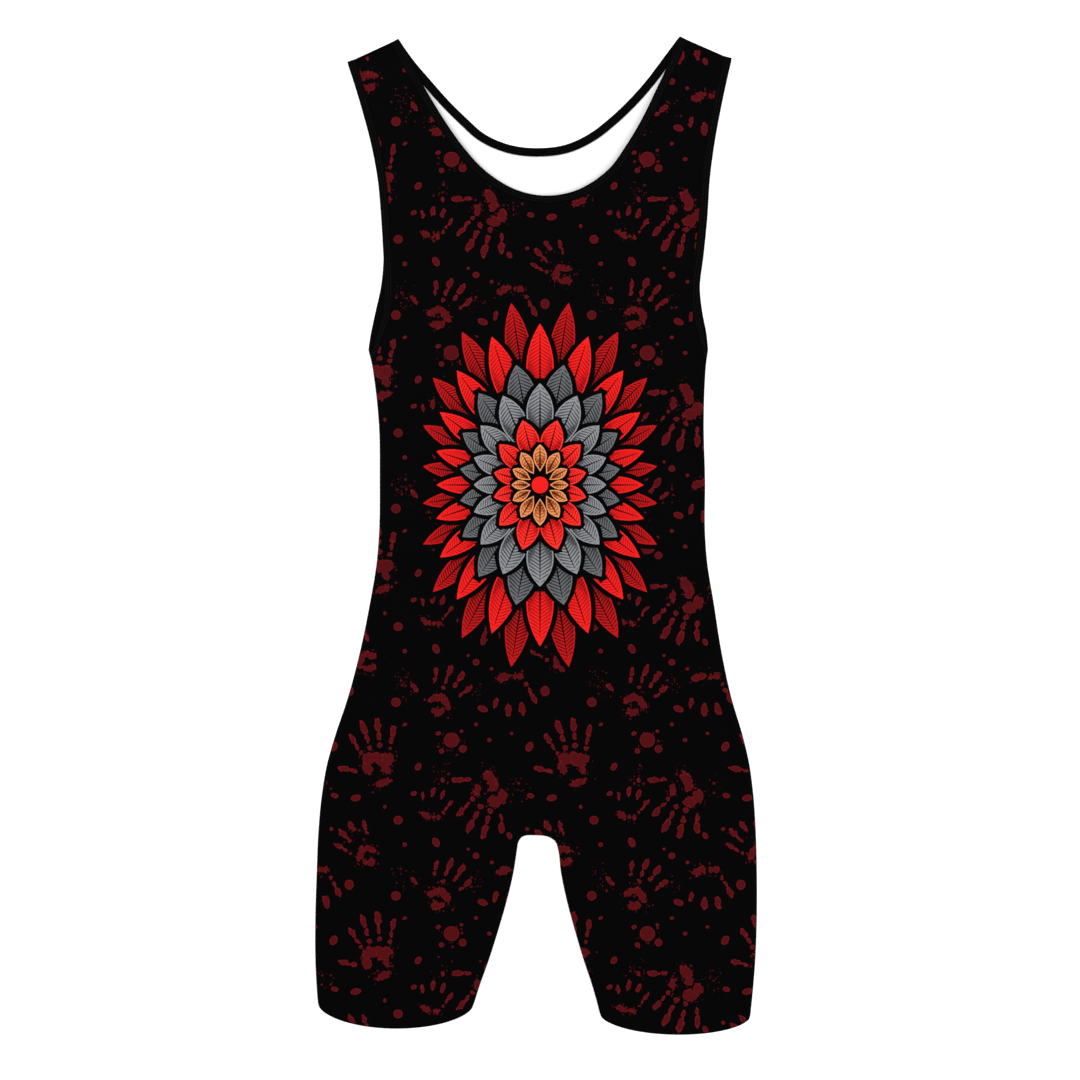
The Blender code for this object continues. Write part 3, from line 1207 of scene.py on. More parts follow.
    def stitch_paths(self, stations: list[Station]) -> list[np.ndarray]:
        """The lines that the stitches lie on.

        Args:
            stations: The places along the strip.

        Returns:
            A line for each row of stitches.
        """
        rise = self.stitch_rise - self.groove
        return [
            self.lifted(np.array([self.placed(s, across, rise) for s in stations]))
            for across in self.stitch_lines
        ]


# --------------------------------------------------------------------------- node trees


class Value:
    """A node's output. Arithmetic on it adds Math nodes to its tree."""

    def __init__(self, graph: "Graph", socket: bpy.types.NodeSocket) -> None:
        """Wraps an output socket."""
        self.graph = graph
        self.socket = socket

    def math(self, operation: str, *others: Any) -> "Value":
        """A Math node on this value and others."""
        return self.graph.node("ShaderNodeMath", {"operation": operation}, (self, *others))

    def output(self, name: int | str) -> "Value":
        """Another output of the same node."""
        return Value(self.graph, self.socket.node.outputs[name])

    def __add__(self, other: Any) -> "Value":
        """This value plus another."""
        return self.math("ADD", other)

    __radd__ = __add__

    def __sub__(self, other: Any) -> "Value":
        """This value less another."""
        return self.math("SUBTRACT", other)

    def __rsub__(self, other: Any) -> "Value":
        """Another value less this one."""
        return self.graph.node("ShaderNodeMath", {"operation": "SUBTRACT"}, (other, self))

    def __mul__(self, other: Any) -> "Value":
        """This value times another."""
        return self.math("MULTIPLY", other)

    __rmul__ = __mul__

    def __truediv__(self, other: Any) -> "Value":
        """This value divided by another."""
        return self.math("DIVIDE", other)

    def __pow__(self, other: Any) -> "Value":
        """This value to a power."""
        return self.math("POWER", other)

    def __mod__(self, other: Any) -> "Value":
        """What is left of this value after whole steps of another."""
        return self.math("MODULO", other)

    def __abs__(self) -> "Value":
        """This value's size."""
        return self.math("ABSOLUTE")

    def __lt__(self, other: Any) -> "Value":
        """1 where this value is less than another, else 0."""
        return self.math("LESS_THAN", other)

    def __gt__(self, other: Any) -> "Value":
        """1 where this value is greater than another, else 0."""
        return self.math("GREATER_THAN", other)

    def least(self, other: Any) -> "Value":
        """The lesser of this value and another."""
        return self.math("MINIMUM", other)

    def most(self, other: Any) -> "Value":
        """The greater of this value and another."""
        return self.math("MAXIMUM", other)


class Graph:
    """A node tree, with one method that adds a node of any kind."""

    def __init__(self, tree: bpy.types.NodeTree) -> None:
        """Starts from an empty tree."""
        self.tree = tree
        self.tree.nodes.clear()

    def node(
        self,
        kind: str,
        settings: dict[str, Any] | None = None,
        inputs: dict[str | int, Any] | Sequence[Any] = (),
        output: int | str = 0,
    ) -> Value | None:
        """Adds a node.

        Args:
            kind: The node's type.
            settings: Its properties, set before its sockets.
            inputs: Values or links for its sockets, by name or number, or in order.
            output: The output to wrap.

        Returns:
            That output, or None where the node has none.
        """
        node = self.tree.nodes.new(kind)
        for name, value in (settings or {}).items():
            setattr(node, name, value)
        pairs = inputs.items() if isinstance(inputs, dict) else enumerate(inputs)
        for key, value in pairs:
            if isinstance(value, Value):
                self.tree.links.new(value.socket, node.inputs[key])
            else:
                node.inputs[key].default_value = value
        return Value(self, node.outputs[output]) if len(node.outputs) else None


class Shader(Graph):
    """A material's tree."""

    def __init__(self, name: str) -> None:
        """Starts a material.

        Args:
            name: The material's name.
        """
        self.material = bpy.data.materials.new(name)
        self.material.use_nodes = True
        super().__init__(self.material.node_tree)

    def vector(self, operation: str, *inputs: Any, output: str = "Vector") -> Value:
        """A Vector Math node."""
        return self.node("ShaderNodeVectorMath", {"operation": operation}, inputs, output)

    def split(self, vector: Value) -> tuple[Value, Value]:
        """A vector's X and Y."""
        x = self.node("ShaderNodeSeparateXYZ", None, (vector,), "X")
        return x, x.output("Y")

    def mix(self, share: Value, first: Any, second: Any) -> Value:
        """A colour that goes from one to another with a share from 0 to 1.

        Args:
            share: The share of the second.
            first: A colour or a link.
            second: A colour or a link.

        Returns:
            The mixed colour.
        """
        pair = {
            key: colour if isinstance(colour, Value) else (*colour, 1)
            for key, colour in ((6, first), (7, second))
        }
        return self.node("ShaderNodeMix", {"data_type": "RGBA"}, {0: share, **pair}, 2)

    def cloth(self) -> Value:
        """Each point's place on the cut, in millimetres."""
        settings = {"attribute_type": "GEOMETRY", "attribute_name": CLOTH}
        return self.node("ShaderNodeAttribute", settings, (), "Vector")

    def noise(self, vector: Value, scale: float, detail: float = 2.0, output: str = "Fac") -> Value:
        """A Noise Texture."""
        inputs = {"Vector": vector, "Scale": scale, "Detail": detail}
        return self.node("ShaderNodeTexNoise", {"noise_dimensions": "2D"}, inputs, output)

    def finish(
        self, surface: dict[str, Any], height: Value | None = None, depth: float = 1.0
    ) -> None:
        """Ends the tree in a Principled surface.

        Args:
            surface: Its sockets' values or links.
            height: A height from 0 to 1 for its Bump node.
            depth: How deep that height is, in metres.
        """
        if height is not None:
            inputs = {"Strength": 1.0, "Distance": depth, "Height": height}
            surface = {**surface, "Normal": self.node("ShaderNodeBump", None, inputs, "Normal")}
        shade = self.node("ShaderNodeBsdfPrincipled", None, surface)
        self.node("ShaderNodeOutputMaterial", None, {"Surface": shade})


Colour = tuple[float, float, float]


def linear(red: int, green: int, blue: int) -> Colour:
    """A screen colour from 0 to 255 as scene-linear light."""
    shares = (value / 255 for value in (red, green, blue))
    return tuple(s / 12.92 if s <= 0.04045 else ((s + 0.055) / 1.055) ** 2.4 for s in shares)


# --------------------------------------------------------------------------- stitches


@dataclass
class Stitches:
    """Rows of cover stitches, swept along lines by a node tree."""

    thread: bpy.types.Material
    pitch: float = 3.0 * MM
    radius: float = 0.2 * MM
    lengths: int = 6  # short lengths to a pitch, one of which is the gap
    unevenness: float = 0.16
    bluntness: float = 0.08  # 0 where a stitch's ends are points
    sides: int = 6
    seed: int = 7
    tree: bpy.types.NodeTree = field(init=False)

    def __post_init__(self) -> None:
        """Builds the node tree."""
        self.tree = self._make_tree()

    def _make_tree(self) -> bpy.types.NodeTree:
        """A tree that sweeps a dash of thread along each pitch of a mesh's edges.

        Returns:
            The node tree.
        """
        tree = bpy.data.node_groups.new("cover_stitches", "GeometryNodeTree")
        tree.interface.new_socket("Geometry", in_out="INPUT", socket_type="NodeSocketGeometry")
        for name in ("Step", "Radius", "Unevenness"):
            tree.interface.new_socket(name, in_out="INPUT", socket_type="NodeSocketFloat")
        for name in ("Lengths", "Seed"):
            tree.interface.new_socket(name, in_out="INPUT", socket_type="NodeSocketInt")
        tree.interface.new_socket("Thread", in_out="INPUT", socket_type="NodeSocketMaterial")
        tree.interface.new_socket("Geometry", in_out="OUTPUT", socket_type="NodeSocketGeometry")
        graph = Graph(tree)
        given = graph.node("NodeGroupInput")
        line = graph.node("GeometryNodeMeshToCurve", None, (given,))
        fine = {"Curve": line, "Length": given.output("Step")}
        line = graph.node("GeometryNodeResampleCurve", {"mode": "LENGTH"}, fine)
        edges = graph.node("GeometryNodeCurveToMesh", None, (line,))
        gap = graph.node("GeometryNodeInputIndex") % given.output("Lengths") < 0.5
        parted = graph.node("GeometryNodeDeleteGeometry", {"domain": "EDGE"}, (edges, gap))
        dash = graph.node("GeometryNodeMeshToCurve", None, (parted,))
        spread_of = {2: 1 - given.output("Unevenness"), 3: 1.0, "Seed": given.output("Seed")}
        size = graph.node("FunctionNodeRandomValue", None, spread_of, 1)
        size = graph.node("GeometryNodeFieldOnDomain", {"domain": "CURVE"}, (size,))
        middle = graph.node("GeometryNodeSplineParameter") * 2 - 1
        swell = ((1 + self.bluntness - middle * middle) ** 0.5) * size
        ring = {"Resolution": self.sides, "Radius": given.output("Radius")}
        ring = graph.node("GeometryNodeCurvePrimitiveCircle", None, ring)
        sweep = {"Curve": dash, "Profile Curve": ring, "Scale": swell, "Fill Caps": True}
        thread = graph.node("GeometryNodeCurveToMesh", None, sweep)
        thread = graph.node("GeometryNodeRealizeInstances", None, (thread,))
        painted = {"Geometry": thread, "Material": given.output("Thread")}
        painted = graph.node("GeometryNodeSetMaterial", None, painted)
        graph.node("NodeGroupOutput", None, (painted,))
        return tree

    def build(self, name: str, paths: list[np.ndarray]) -> bpy.types.Object:
        """Sews rows of stitches along lines.

        Args:
            name: The piece's name.
            paths: The rows' lines.

        Returns:
            The finished piece, a plain mesh.
        """
        edges, first = [], 0
        for path in paths:
            edges += [(first + i, first + i + 1) for i in range(len(path) - 1)]
            first += len(path)
        guide_mesh = bpy.data.meshes.new(f"{name}_paths")
        guide_mesh.from_pydata(np.vstack(paths).tolist(), edges, [])
        guide = bpy.data.objects.new(f"{name}_paths", guide_mesh)
        bpy.context.scene.collection.objects.link(guide)
        modifier = guide.modifiers.new("stitches", "NODES")
        modifier.node_group = self.tree
        values = {
            "Step": self.pitch / self.lengths,
            "Radius": self.radius,
            "Unevenness": self.unevenness,
            "Lengths": self.lengths,
            "Seed": self.seed,
            "Thread": self.thread,
        }
        for item in self.tree.interface.items_tree:
            if item.in_out == "INPUT" and item.name in values:
                modifier[item.identifier] = values[item.name]
        graph = bpy.context.evaluated_depsgraph_get()
        made = bpy.data.meshes.new_from_object(guide.evaluated_get(graph))
        bpy.data.objects.remove(guide)
        made.name = name
        obj = bpy.data.objects.new(name, made)
        bpy.context.scene.collection.objects.link(obj)
        made.shade_smooth()
        settle(obj, "binding_knit")
        LOG.info("%s: %d faces", name, len(made.polygons))
        return obj


# --------------------------------------------------------------------------- the print


@dataclass(frozen=True)
class Oval:
    """A filled oval of the print: its middle, half sizes and turn in degrees."""

    x: float
    y: float
    across: float
    along: float
    turn: float = 0.0

    def placed(self, x: float, y: float, turn: float, size: float, flip: bool) -> "Oval":
        """This oval after its motif is flipped, sized, turned and moved.

        Args:
            x: The motif's place.
            y: The motif's place.
            turn: Degrees that the motif is turned.
            size: How much it is enlarged.
            flip: Whether it is mirrored.

        Returns:
            The oval in its new place.
        """
        own_x, own_turn = (-self.x, -self.turn) if flip else (self.x, self.turn)
        c, s = math.cos(math.radians(turn)), math.sin(math.radians(turn))
        moved = (x + size * (own_x * c - self.y * s), y + size * (own_x * s + self.y * c))
        return Oval(*moved, size * self.across, size * self.along, own_turn + turn)

    def weights(self) -> tuple[Colour, Colour]:
        """Weights of (x*x, y*y, x*y) and (x, y, 1) that sum to the distance outside the edge.

        Returns:
            The first three weights and the last three.
        """
        c, s = math.cos(math.radians(self.turn)), math.sin(math.radians(self.turn))
        a, b = 1 / self.across**2, 1 / self.along**2
        xx, yy, xy = c * c * a + s * s * b, s * s * a + c * c * b, 2 * s * c * (a - b)
        x, y = -2 * xx * self.x - xy * self.y, -2 * yy * self.y - xy * self.x
        one = xx * self.x**2 + yy * self.y**2 + xy * self.x * self.y - 1
        scale = min(self.across, self.along) / 2
        return (scale * xx, scale * yy, scale * xy), (scale * x, scale * y, scale * one)


class Palm(Enum):
    """How much of the palm a handprint shows, as ovals."""

    WHOLE = (
        Oval(-9, 5, 6.2, 5.6, 10),
        Oval(0, 5, 6, 4.6, -8),
        Oval(9, 2, 6.6, 4.6, -22),
        Oval(-12.5, -4, 4.6, 6.4, 12),
        Oval(4, -1.5, 7, 4, -14),
        Oval(0, -21, 8.4, 3.4, 6),
        Oval(6, -9, 3.4, 4.4, 30),
    )
    SPLIT = (
        Oval(5, 7, 6.4, 5.4, -20),
        Oval(10, -1, 5, 6.4, -24),
        Oval(-6, -12, 9.2, 4.6, 38),
        Oval(-1, -5, 3.6, 4.4, 40),
        Oval(-14, 3, 3.2, 5.6, -16),
    )
    ARCH = (
        Oval(-7.5, 1, 8.6, 4, 52),
        Oval(5, 2.5, 9.8, 4, -36),
        Oval(-1, 5, 5, 3.4, 0),
        Oval(1, -13, 6.4, 4.4, 14),
        Oval(6, -9, 3.2, 4.4, -30),
    )
    PADS = (
        Oval(-8, 1, 6.6, 4, -12),
        Oval(-13, 3, 4, 3, 20),
        Oval(3, 1.5, 2.6, 3, 20),
        Oval(9, 2, 3.4, 3.4),
    )


@dataclass(frozen=True)
class Finger:
    """A finger of a handprint: its root, its lean from straight up, and its reach."""

    x: float
    y: float
    lean: float
    reach: float
    usual_reach: float = 30
    joints: tuple[tuple[float, float, float], ...] = (  # share of the reach, and half sizes
        (0.8, 3.1, 6.9),
        (0.43, 2.0, 4.1),
        (0.13, 2.4, 2.3),
    )

    def ovals(self, count: int) -> list[Oval]:
        """The finger's tip and, where more joints print, its middle and root.

        Args:
            count: How many joints print.

        Returns:
            An oval for each joint.
        """
        c, s = math.cos(math.radians(self.lean)), math.sin(math.radians(self.lean))
        size = self.reach / self.usual_reach
        found = []
        for share, a, b in self.joints[:count]:
            out = share * self.reach
            found.append(Oval(self.x - out * s, self.y + out * c, size * a, size * b, self.lean))
        return found


FINGERS = (
    Finger(-14, 9, 20, 25),
    Finger(-5, 12, 6, 31),
    Finger(4, 12, -7, 31),
    Finger(13, 8, -22, 26),
    Finger(-16, -8, 66, 26),
)


@dataclass(frozen=True)
class Motif:
    """A group of ovals that repeats over the cloth."""

    x: float
    y: float
    ovals: tuple[Oval, ...]
    ragged: float  # how far its edge wanders, in millimetres
    palm: bool = False  # whether it spatters


def handprint(
    x: float,
    y: float,
    turn: float,
    size: float,
    palm: Palm,
    joints: Sequence[int] = (3, 3, 3, 3, 2),
    flip: bool = False,
) -> list[Motif]:
    """A handprint.

    Args:
        x: Where its palm lies in the repeat.
        y: Where its palm lies in the repeat.
        turn: Degrees that it is turned.
        size: Its size beside a hand 66 mm long.
        palm: What shows of the palm.
        joints: How many joints of each finger print, the thumb last.
        flip: Whether it is of the other hand.

    Returns:
        Its palm, which is the more ragged part, and its fingers.
    """
    fingers = [oval for finger, count in zip(FINGERS, joints) for oval in finger.ovals(count)]
    blot, rest = (
        tuple(oval.placed(0, 0, turn, size, flip) for oval in part)
        for part in (palm.value, fingers)
    )
    return [Motif(x, y, blot, 1.9, palm=True), Motif(x, y, rest, 0.8)]


@dataclass(frozen=True)
class Print:
    """The repeat of handprints, drops and fine spatter."""

    repeat: tuple[float, float] = (176.0, 174.0)
    hands: tuple[Motif, ...] = (
        *handprint(36, 146, 12, 0.9, Palm.WHOLE),
        *handprint(138, 118, 158, 0.94, Palm.SPLIT, (3, 3, 3, 2, 2), flip=True),
        *handprint(92, 26, -28, 0.78, Palm.ARCH, (2, 3, 2, 2, 1)),
        *handprint(156, 50, 186, 0.84, Palm.PADS, (1, 1, 1, 3, 0), flip=True),
        *handprint(24, 64, 38, 0.72, Palm.ARCH, (2, 1, 2, 3, 0), flip=True),
        *handprint(84, 96, -14, 0.62, Palm.PADS, (1, 1, 1, 3, 0)),
    )
    drops: tuple[Oval, ...] = (
        Oval(100, 164, 6.8, 6.6),
        Oval(110, 156, 3.4, 3.3),
        Oval(91, 154, 2.3, 2.2),
        Oval(88, 170, 2.4, 1.7, 20),
        Oval(109, 172, 1.5, 1.4),
        Oval(52, 92, 4, 3.8),
        Oval(170, 158, 3.2, 4.4, -30),
        Oval(14, 112, 4.6, 2.8, 12),
        Oval(86, 72, 3.0, 4.4, 28),
        Oval(50, 24, 4.2, 4.1),
        Oval(128, 18, 4.6, 2.8, -20),
        Oval(8, 34, 4, 4.4),
        Oval(58, 70, 2, 1.9),
        Oval(168, 84, 1.7, 1.6),
        Oval(134, 164, 1.9, 1.7),
        Oval(40, 104, 1.4, 1.7),
        Oval(70, 140, 2.6, 3.6, -35),
        Oval(122, 4, 1.7, 1.6),
        Oval(58, 4, 2, 1.3, 30),
        Oval(66, 116, 2.7, 1.9, 25),
        Oval(152, 78, 2.2, 3.2, 30),
        Oval(171, 114, 3.2, 2.2, -15),
        Oval(122, 60, 3, 2.8),
        Oval(115, 66, 1.3, 1.2),
        Oval(136, 54, 1.6, 1.5),
        Oval(92, 128, 1.6, 2.3, 15),
        Oval(154, 170, 1.5, 1.4),
    )
    clouds: tuple[Oval, ...] = (
        Oval(58, 40, 9, 14, 20),
        Oval(160, 122, 8, 10),
        Oval(90, 132, 8, 12, -30),
        Oval(10, 78, 12, 6),
        Oval(100, 162, 12, 9),
        Oval(122, 36, 7, 9),
    )
    warp: float = 3.4  # how far shapes are drawn about
    grains: tuple[float, float, float] = (0.2, 0.46, 0.18)  # noise scales: warp, edges and blots
    blotting: float = 1.6  # how deep blots eat into a palm, in times its raggedness
    cloud_reach: float = 4.0  # how much less far than a palm a cloud sheds dots
    dots: tuple[tuple[float, float], ...] = ((4.2, 9.0), (2.3, 7.0))  # cell sizes and reaches
    dot_size: float = 0.3  # a dot's greatest radius, as a share of its cell
    dot_share: float = 0.36  # how many cells have one, close to a palm
    rim_width: float = 0.5
    top: float = 436.0  # the print stops short of the shoulders
    red: Colour = linear(80, 14, 17)
    rim: Colour = linear(106, 20, 26)
    ground: Colour = linear(3, 3, 4)

    def quarters(self, ovals: Iterable[Oval]) -> list[Motif]:
        """Scattered ovals, as a motif for each quarter of the repeat, round its middle.

        Args:
            ovals: The ovals.

        Returns:
            The motifs.
        """
        half_x, half_y = (size / 2 for size in self.repeat)
        found: dict[tuple[float, float], list[Oval]] = {}
        for oval in ovals:
            x, y = half_x * (oval.x // half_x + 0.5), half_y * (oval.y // half_y + 0.5)
            found.setdefault((x, y), []).append(oval.placed(-x, -y, 0, 1, False))
        return [Motif(x, y, tuple(group), 0.4) for (x, y), group in found.items()]

    def outside(self, shader: Shader, cloth: Value, motif: Motif) -> Value:
        """About how far outside the nearest of a motif's ovals each point lies, in millimetres.

        Args:
            shader: The material's tree.
            cloth: The place on the cut.
            motif: The motif.

        Returns:
            The distance, which is negative inside.
        """
        half_x, half_y = (size / 2 for size in self.repeat)
        moved = shader.vector("SUBTRACT", cloth, (motif.x, motif.y, -1.0))  # its Z is 1
        near = shader.vector("WRAP", moved, (half_x, half_y, 9.0), (-half_x, -half_y, -9.0))
        x, y = shader.split(near)
        squares = shader.node("ShaderNodeCombineXYZ", None, (x * x, y * y, x * y))
        best = None
        for oval in motif.ovals:
            square_weights, weights = oval.weights()
            found = shader.vector("DOT_PRODUCT", squares, square_weights, output="Value")
            found = found + shader.vector("DOT_PRODUCT", near, weights, output="Value")
            best = best.least(found) if best else found
        return best

    def paint(self, shader: Shader, cloth: Value) -> Value:
        """The print's colour.

        Args:
            shader: The material's tree.
            cloth: The place on the cut.

        Returns:
            The colour.
        """
        wide, fine, broad = self.grains
        drift = shader.noise(cloth, wide, 3.0, "Color")
        drawn = shader.vector("MULTIPLY_ADD", drift, (self.warp, self.warp, 0.0), cloth)
        ragged = shader.noise(cloth, fine, 3.0) - 0.5
        blots = shader.noise(cloth, broad, 2.0) - 0.5
        best = palms = None
        for motif in self.hands:
            found = self.outside(shader, drawn, motif)
            if motif.palm:
                palms = palms.least(found) if palms else found
                found = found + blots * (self.blotting * motif.ragged)
            found = found + ragged * (2 * motif.ragged)
            best = best.least(found) if best else found
        for motif in self.quarters(self.drops):
            best = best.least(self.outside(shader, cloth, motif) + ragged * (2 * motif.ragged))
        for motif in self.quarters(self.clouds):
            palms = palms.least(self.outside(shader, cloth, motif) + self.cloud_reach)
        inked = best < 0
        colour = shader.mix(inked * (best > -self.rim_width), self.red, self.rim)
        marked = inked.most(self.spatter(shader, cloth, palms))
        marked = marked * (shader.split(cloth)[1] < self.top)
        return shader.mix(marked, self.ground, colour)

    def spatter(self, shader: Shader, cloth: Value, near: Value) -> Value:
        """1 on fine dots, which grow fewer away from what sheds them.

        Args:
            shader: The material's tree.
            cloth: The place on the cut.
            near: How far each point lies from what sheds dots.

        Returns:
            1 or 0 at each point.
        """
        found = None
        for cell, reach in self.dots:
            settings = {"voronoi_dimensions": "2D", "feature": "F1"}
            inputs = {"Vector": cloth, "Scale": 1 / cell}
            far = shader.node("ShaderNodeTexVoronoi", settings, inputs)
            chance, size = shader.split(far.output("Color"))
            dot = (far < size * self.dot_size) * (chance < (1 - near / reach) * self.dot_share)
            found = found.most(dot) if found else dot
        return found


# --------------------------------------------------------------------------- the medallion


@dataclass(frozen=True)
class Ring:
    """A ring of pointed leaves round the medallion's middle."""

    count: int
    phase: float  # 0 or 0.5: which leaves stand on the axes
    side: float  # a leaf's reach at the sides
    top: float  # and at the top and bottom
    root: float  # where a leaf begins, as a share of its reach
    width: float  # half the width of a middling leaf
    shape: float  # over 1, a leaf is widest beyond its middle
    dark: tuple[int, int, int]  # this and the next two are screen colours
    body: tuple[int, int, int]
    light: tuple[int, int, int]
    gap: float = 0.525  # width of the black line round a leaf
    rim: float = 1.65  # how far in its light rim reaches
    hatch: float = 2.6  # spacing of its engraved lines
    slant: float = 0.55  # how steeply they run out from the rib
    rib: float = 1.45  # half the width of its rib at the root
    rib_tip: float = 0.15
    rib_end: float = 0.9
    unevenness: float = 0.7
    wobble: float = 1.2  # how far streaks push the engraved lines about
    light_gain: float = 1.5  # how fast a leaf grows lighter towards its tip
    light_start: float = 0.35  # how far from its root it has no light lines
    light_fall: float = 0.5  # how much darker it is at its edges than at its rib
    dark_gap: float = 0.75  # how far dark lines stay away from light ones
    halo_ends: tuple[float, float] = (-0.05, 1.06)  # its black surround, from root to tip


@dataclass(frozen=True)
class Medallion:
    """A pointed-oval rosette of leaves and petals on the chest."""

    x: float = 3.5
    y: float = 45.3
    halo: float = 4.0
    black: Colour = linear(3, 3, 4)
    core: Colour = linear(232, 30, 28)
    core_radius: float = 7.5
    core_gap: float = 1.4
    rings: tuple[Ring, ...] = (
        Ring(20, 0.5, 106, 168, 0.42, 9.5, 1.25, (30, 4, 5), (92, 10, 12), (186, 22, 24)),
        Ring(20, 0.0, 94, 146, 0.38, 10.5, 1.15, (74, 8, 9), (178, 18, 20), (238, 32, 30)),
        Ring(16, 0.5, 72, 112, 0.36, 11.0, 1.3, (14, 14, 16), (50, 50, 53), (102, 103, 106)),
        Ring(16, 0.0, 60, 92, 0.3, 10.5, 1.3, (24, 24, 26), (78, 79, 82), (140, 141, 145)),
        Ring(12, 0.5, 42, 62, 0.26, 9.0, 1.2, (80, 8, 9), (196, 20, 21), (244, 50, 42)),
        Ring(12, 0.0, 26, 37, 0.3, 5.6, 1.2, (80, 34, 14), (176, 88, 44), (226, 146, 92)),
    )

    def paint(self, shader: Shader, cloth: Value, behind: Value) -> Value:
        """The medallion's colour over the print behind it.

        Args:
            shader: The material's tree.
            cloth: The place on the cut.
            behind: The print's colour.

        Returns:
            The colour.
        """
        place = shader.vector("SUBTRACT", cloth, (self.x, self.y, 0.0))
        x, y = shader.split(place)
        angle = y.math("ARCTAN2", x)
        far = shader.vector("LENGTH", place, output="Value")
        streaks = shader.noise(place, 0.5, 2.0) - 0.5
        colour = behind
        for ring in self.rings:
            colour = self.ring(shader, ring, angle, far, streaks, colour)
        core = self.core_radius - far
        colour = shader.mix(core > -self.core_gap, colour, self.black)
        return shader.mix(core > 0, colour, self.core)

    def ring(
        self, shader: Shader, ring: Ring, angle: Value, far: Value, streaks: Value, behind: Value
    ) -> Value:
        """One ring's colour over what is behind it.

        Args:
            shader: The material's tree.
            ring: The ring.
            angle: Each point's angle round the middle.
            far: Its distance from the middle.
            streaks: A noise round 0 that makes the lines uneven.
            behind: The colour behind the ring.

        Returns:
            The colour.
        """
        dark, body, light = (linear(*colour) for colour in (ring.dark, ring.body, ring.light))
        step = 2 * math.pi / ring.count
        turns = angle * (1 / step) + ring.phase
        number = (turns + 0.5).math("FLOOR")
        off = (turns - number) * step
        own = (number - ring.phase) * step
        mean, swing = (ring.side + ring.top) / 2, (ring.side - ring.top) / 2
        reach = (own * 2).math("COSINE") * swing + mean
        along = (far * off.math("COSINE") / reach - ring.root) * (1 / (1 - ring.root))
        inside = along.most(0.0).least(1.0)
        across = abs(far * off.math("SINE"))
        bent = inside**ring.shape
        width = bent * (1 - bent) * (4 * ring.width / mean) * reach
        depth = width - across + streaks * ring.unevenness
        lines = along * (mean * (1 - ring.root) / ring.hatch) + across * (ring.slant / ring.hatch)
        engraved = (lines * (2 * math.pi)).math("SINE") + streaks * ring.wobble
        lit = inside * ring.light_gain - ring.light_start
        lit = lit - across / width.most(0.5) * ring.light_fall
        tone = shader.mix((engraved * 0.5 + 0.5) < lit, body, light)
        tone = shader.mix((engraved * -0.5 + 0.5) > (lit + ring.dark_gap), tone, dark)
        rib = across < (1 - inside) * (ring.rib - ring.rib_tip) + ring.rib_tip
        tone = shader.mix(rib * (along < ring.rib_end), tone, dark)
        tone = shader.mix(depth < ring.rim, tone, light)
        tone = shader.mix(depth < ring.gap, tone, self.black)
        root, tip = ring.halo_ends
        halo = (depth > -self.halo) * (along > root) * (along < tip)
        leaf = (depth > 0) * (along > 0) * (along < 1)
        return shader.mix(leaf, shader.mix(halo, behind, self.black), tone)


# --------------------------------------------------------------------------- finishes


@dataclass(frozen=True)
class Knit:
    """Fine jersey: its loops and how it takes the light."""

    wale: float = 0.62  # millimetres from one column of loops to the next
    course: float = 0.5  # and from one row to the next
    slant: float = 0.5  # how far a loop's legs lean, as a share of a course
    relief: tuple[float, float, float] = (0.2, 0.6, 0.2)  # of the height: even, columns, rows
    depth: float = 0.035 * MM
    roughness: float = 0.6
    specular: float = 0.022
    sheen: float = 0.01
    sheen_roughness: float = 0.4

    def height(self, shader: Shader, cloth: Value) -> Value:
        """The loops' height, from 0 to 1.

        Args:
            shader: The material's tree.
            cloth: The place on the cut.

        Returns:
            The height.
        """
        x, y = shader.split(cloth)
        even, columns, rows = self.relief
        lean = abs((x * (1 / self.wale)).math("FRACT") - 0.5) * 2
        loops = ((y * (1 / self.course) + lean * self.slant) * (2 * math.pi)).math("SINE")
        return (1 - lean * lean) * columns + loops * rows + even

    def surface(self, colour: Any) -> dict[str, Any]:
        """The Principled sockets for a knit of a colour.

        Args:
            colour: A colour or a link.

        Returns:
            The sockets' values or links, by name.
        """
        return {
            "Base Color": colour if isinstance(colour, Value) else (*colour, 1),
            "Roughness": self.roughness,
            "Specular IOR Level": self.specular,
            "Sheen Weight": self.sheen,
            "Sheen Roughness": self.sheen_roughness,
        }


@dataclass(frozen=True)
class PrintedKnit:
    """Black knit with its print, with or without the medallion."""

    knit: Knit = Knit()
    design: Print = Print()
    medallion: Medallion | None = None

    def make(self, name: str) -> bpy.types.Material:
        """The material.

        Args:
            name: Its name.

        Returns:
            The finished material.
        """
        shader = Shader(name)
        cloth = shader.cloth()
        colour = self.design.paint(shader, cloth)
        if self.medallion:
            colour = self.medallion.paint(shader, cloth, colour)
        height = self.knit.height(shader, cloth)
        shader.finish(self.knit.surface(colour), height, self.knit.depth)
        return shader.material


@dataclass(frozen=True)
class PlainKnit:
    """Knit of one colour, which drifts a little to a second shade."""

    colour: Colour
    shade: Colour
    knit: Knit = Knit()
    drift: float = 0.05

    def make(self, name: str) -> bpy.types.Material:
        """The material.

        Args:
            name: Its name.

        Returns:
            The finished material.
        """
        shader = Shader(name)
        cloth = shader.cloth()
        colour = shader.mix(shader.noise(cloth, self.drift, 3.0), self.colour, self.shade)
        shader.finish(self.knit.surface(colour), self.knit.height(shader, cloth), self.knit.depth)
        return shader.material


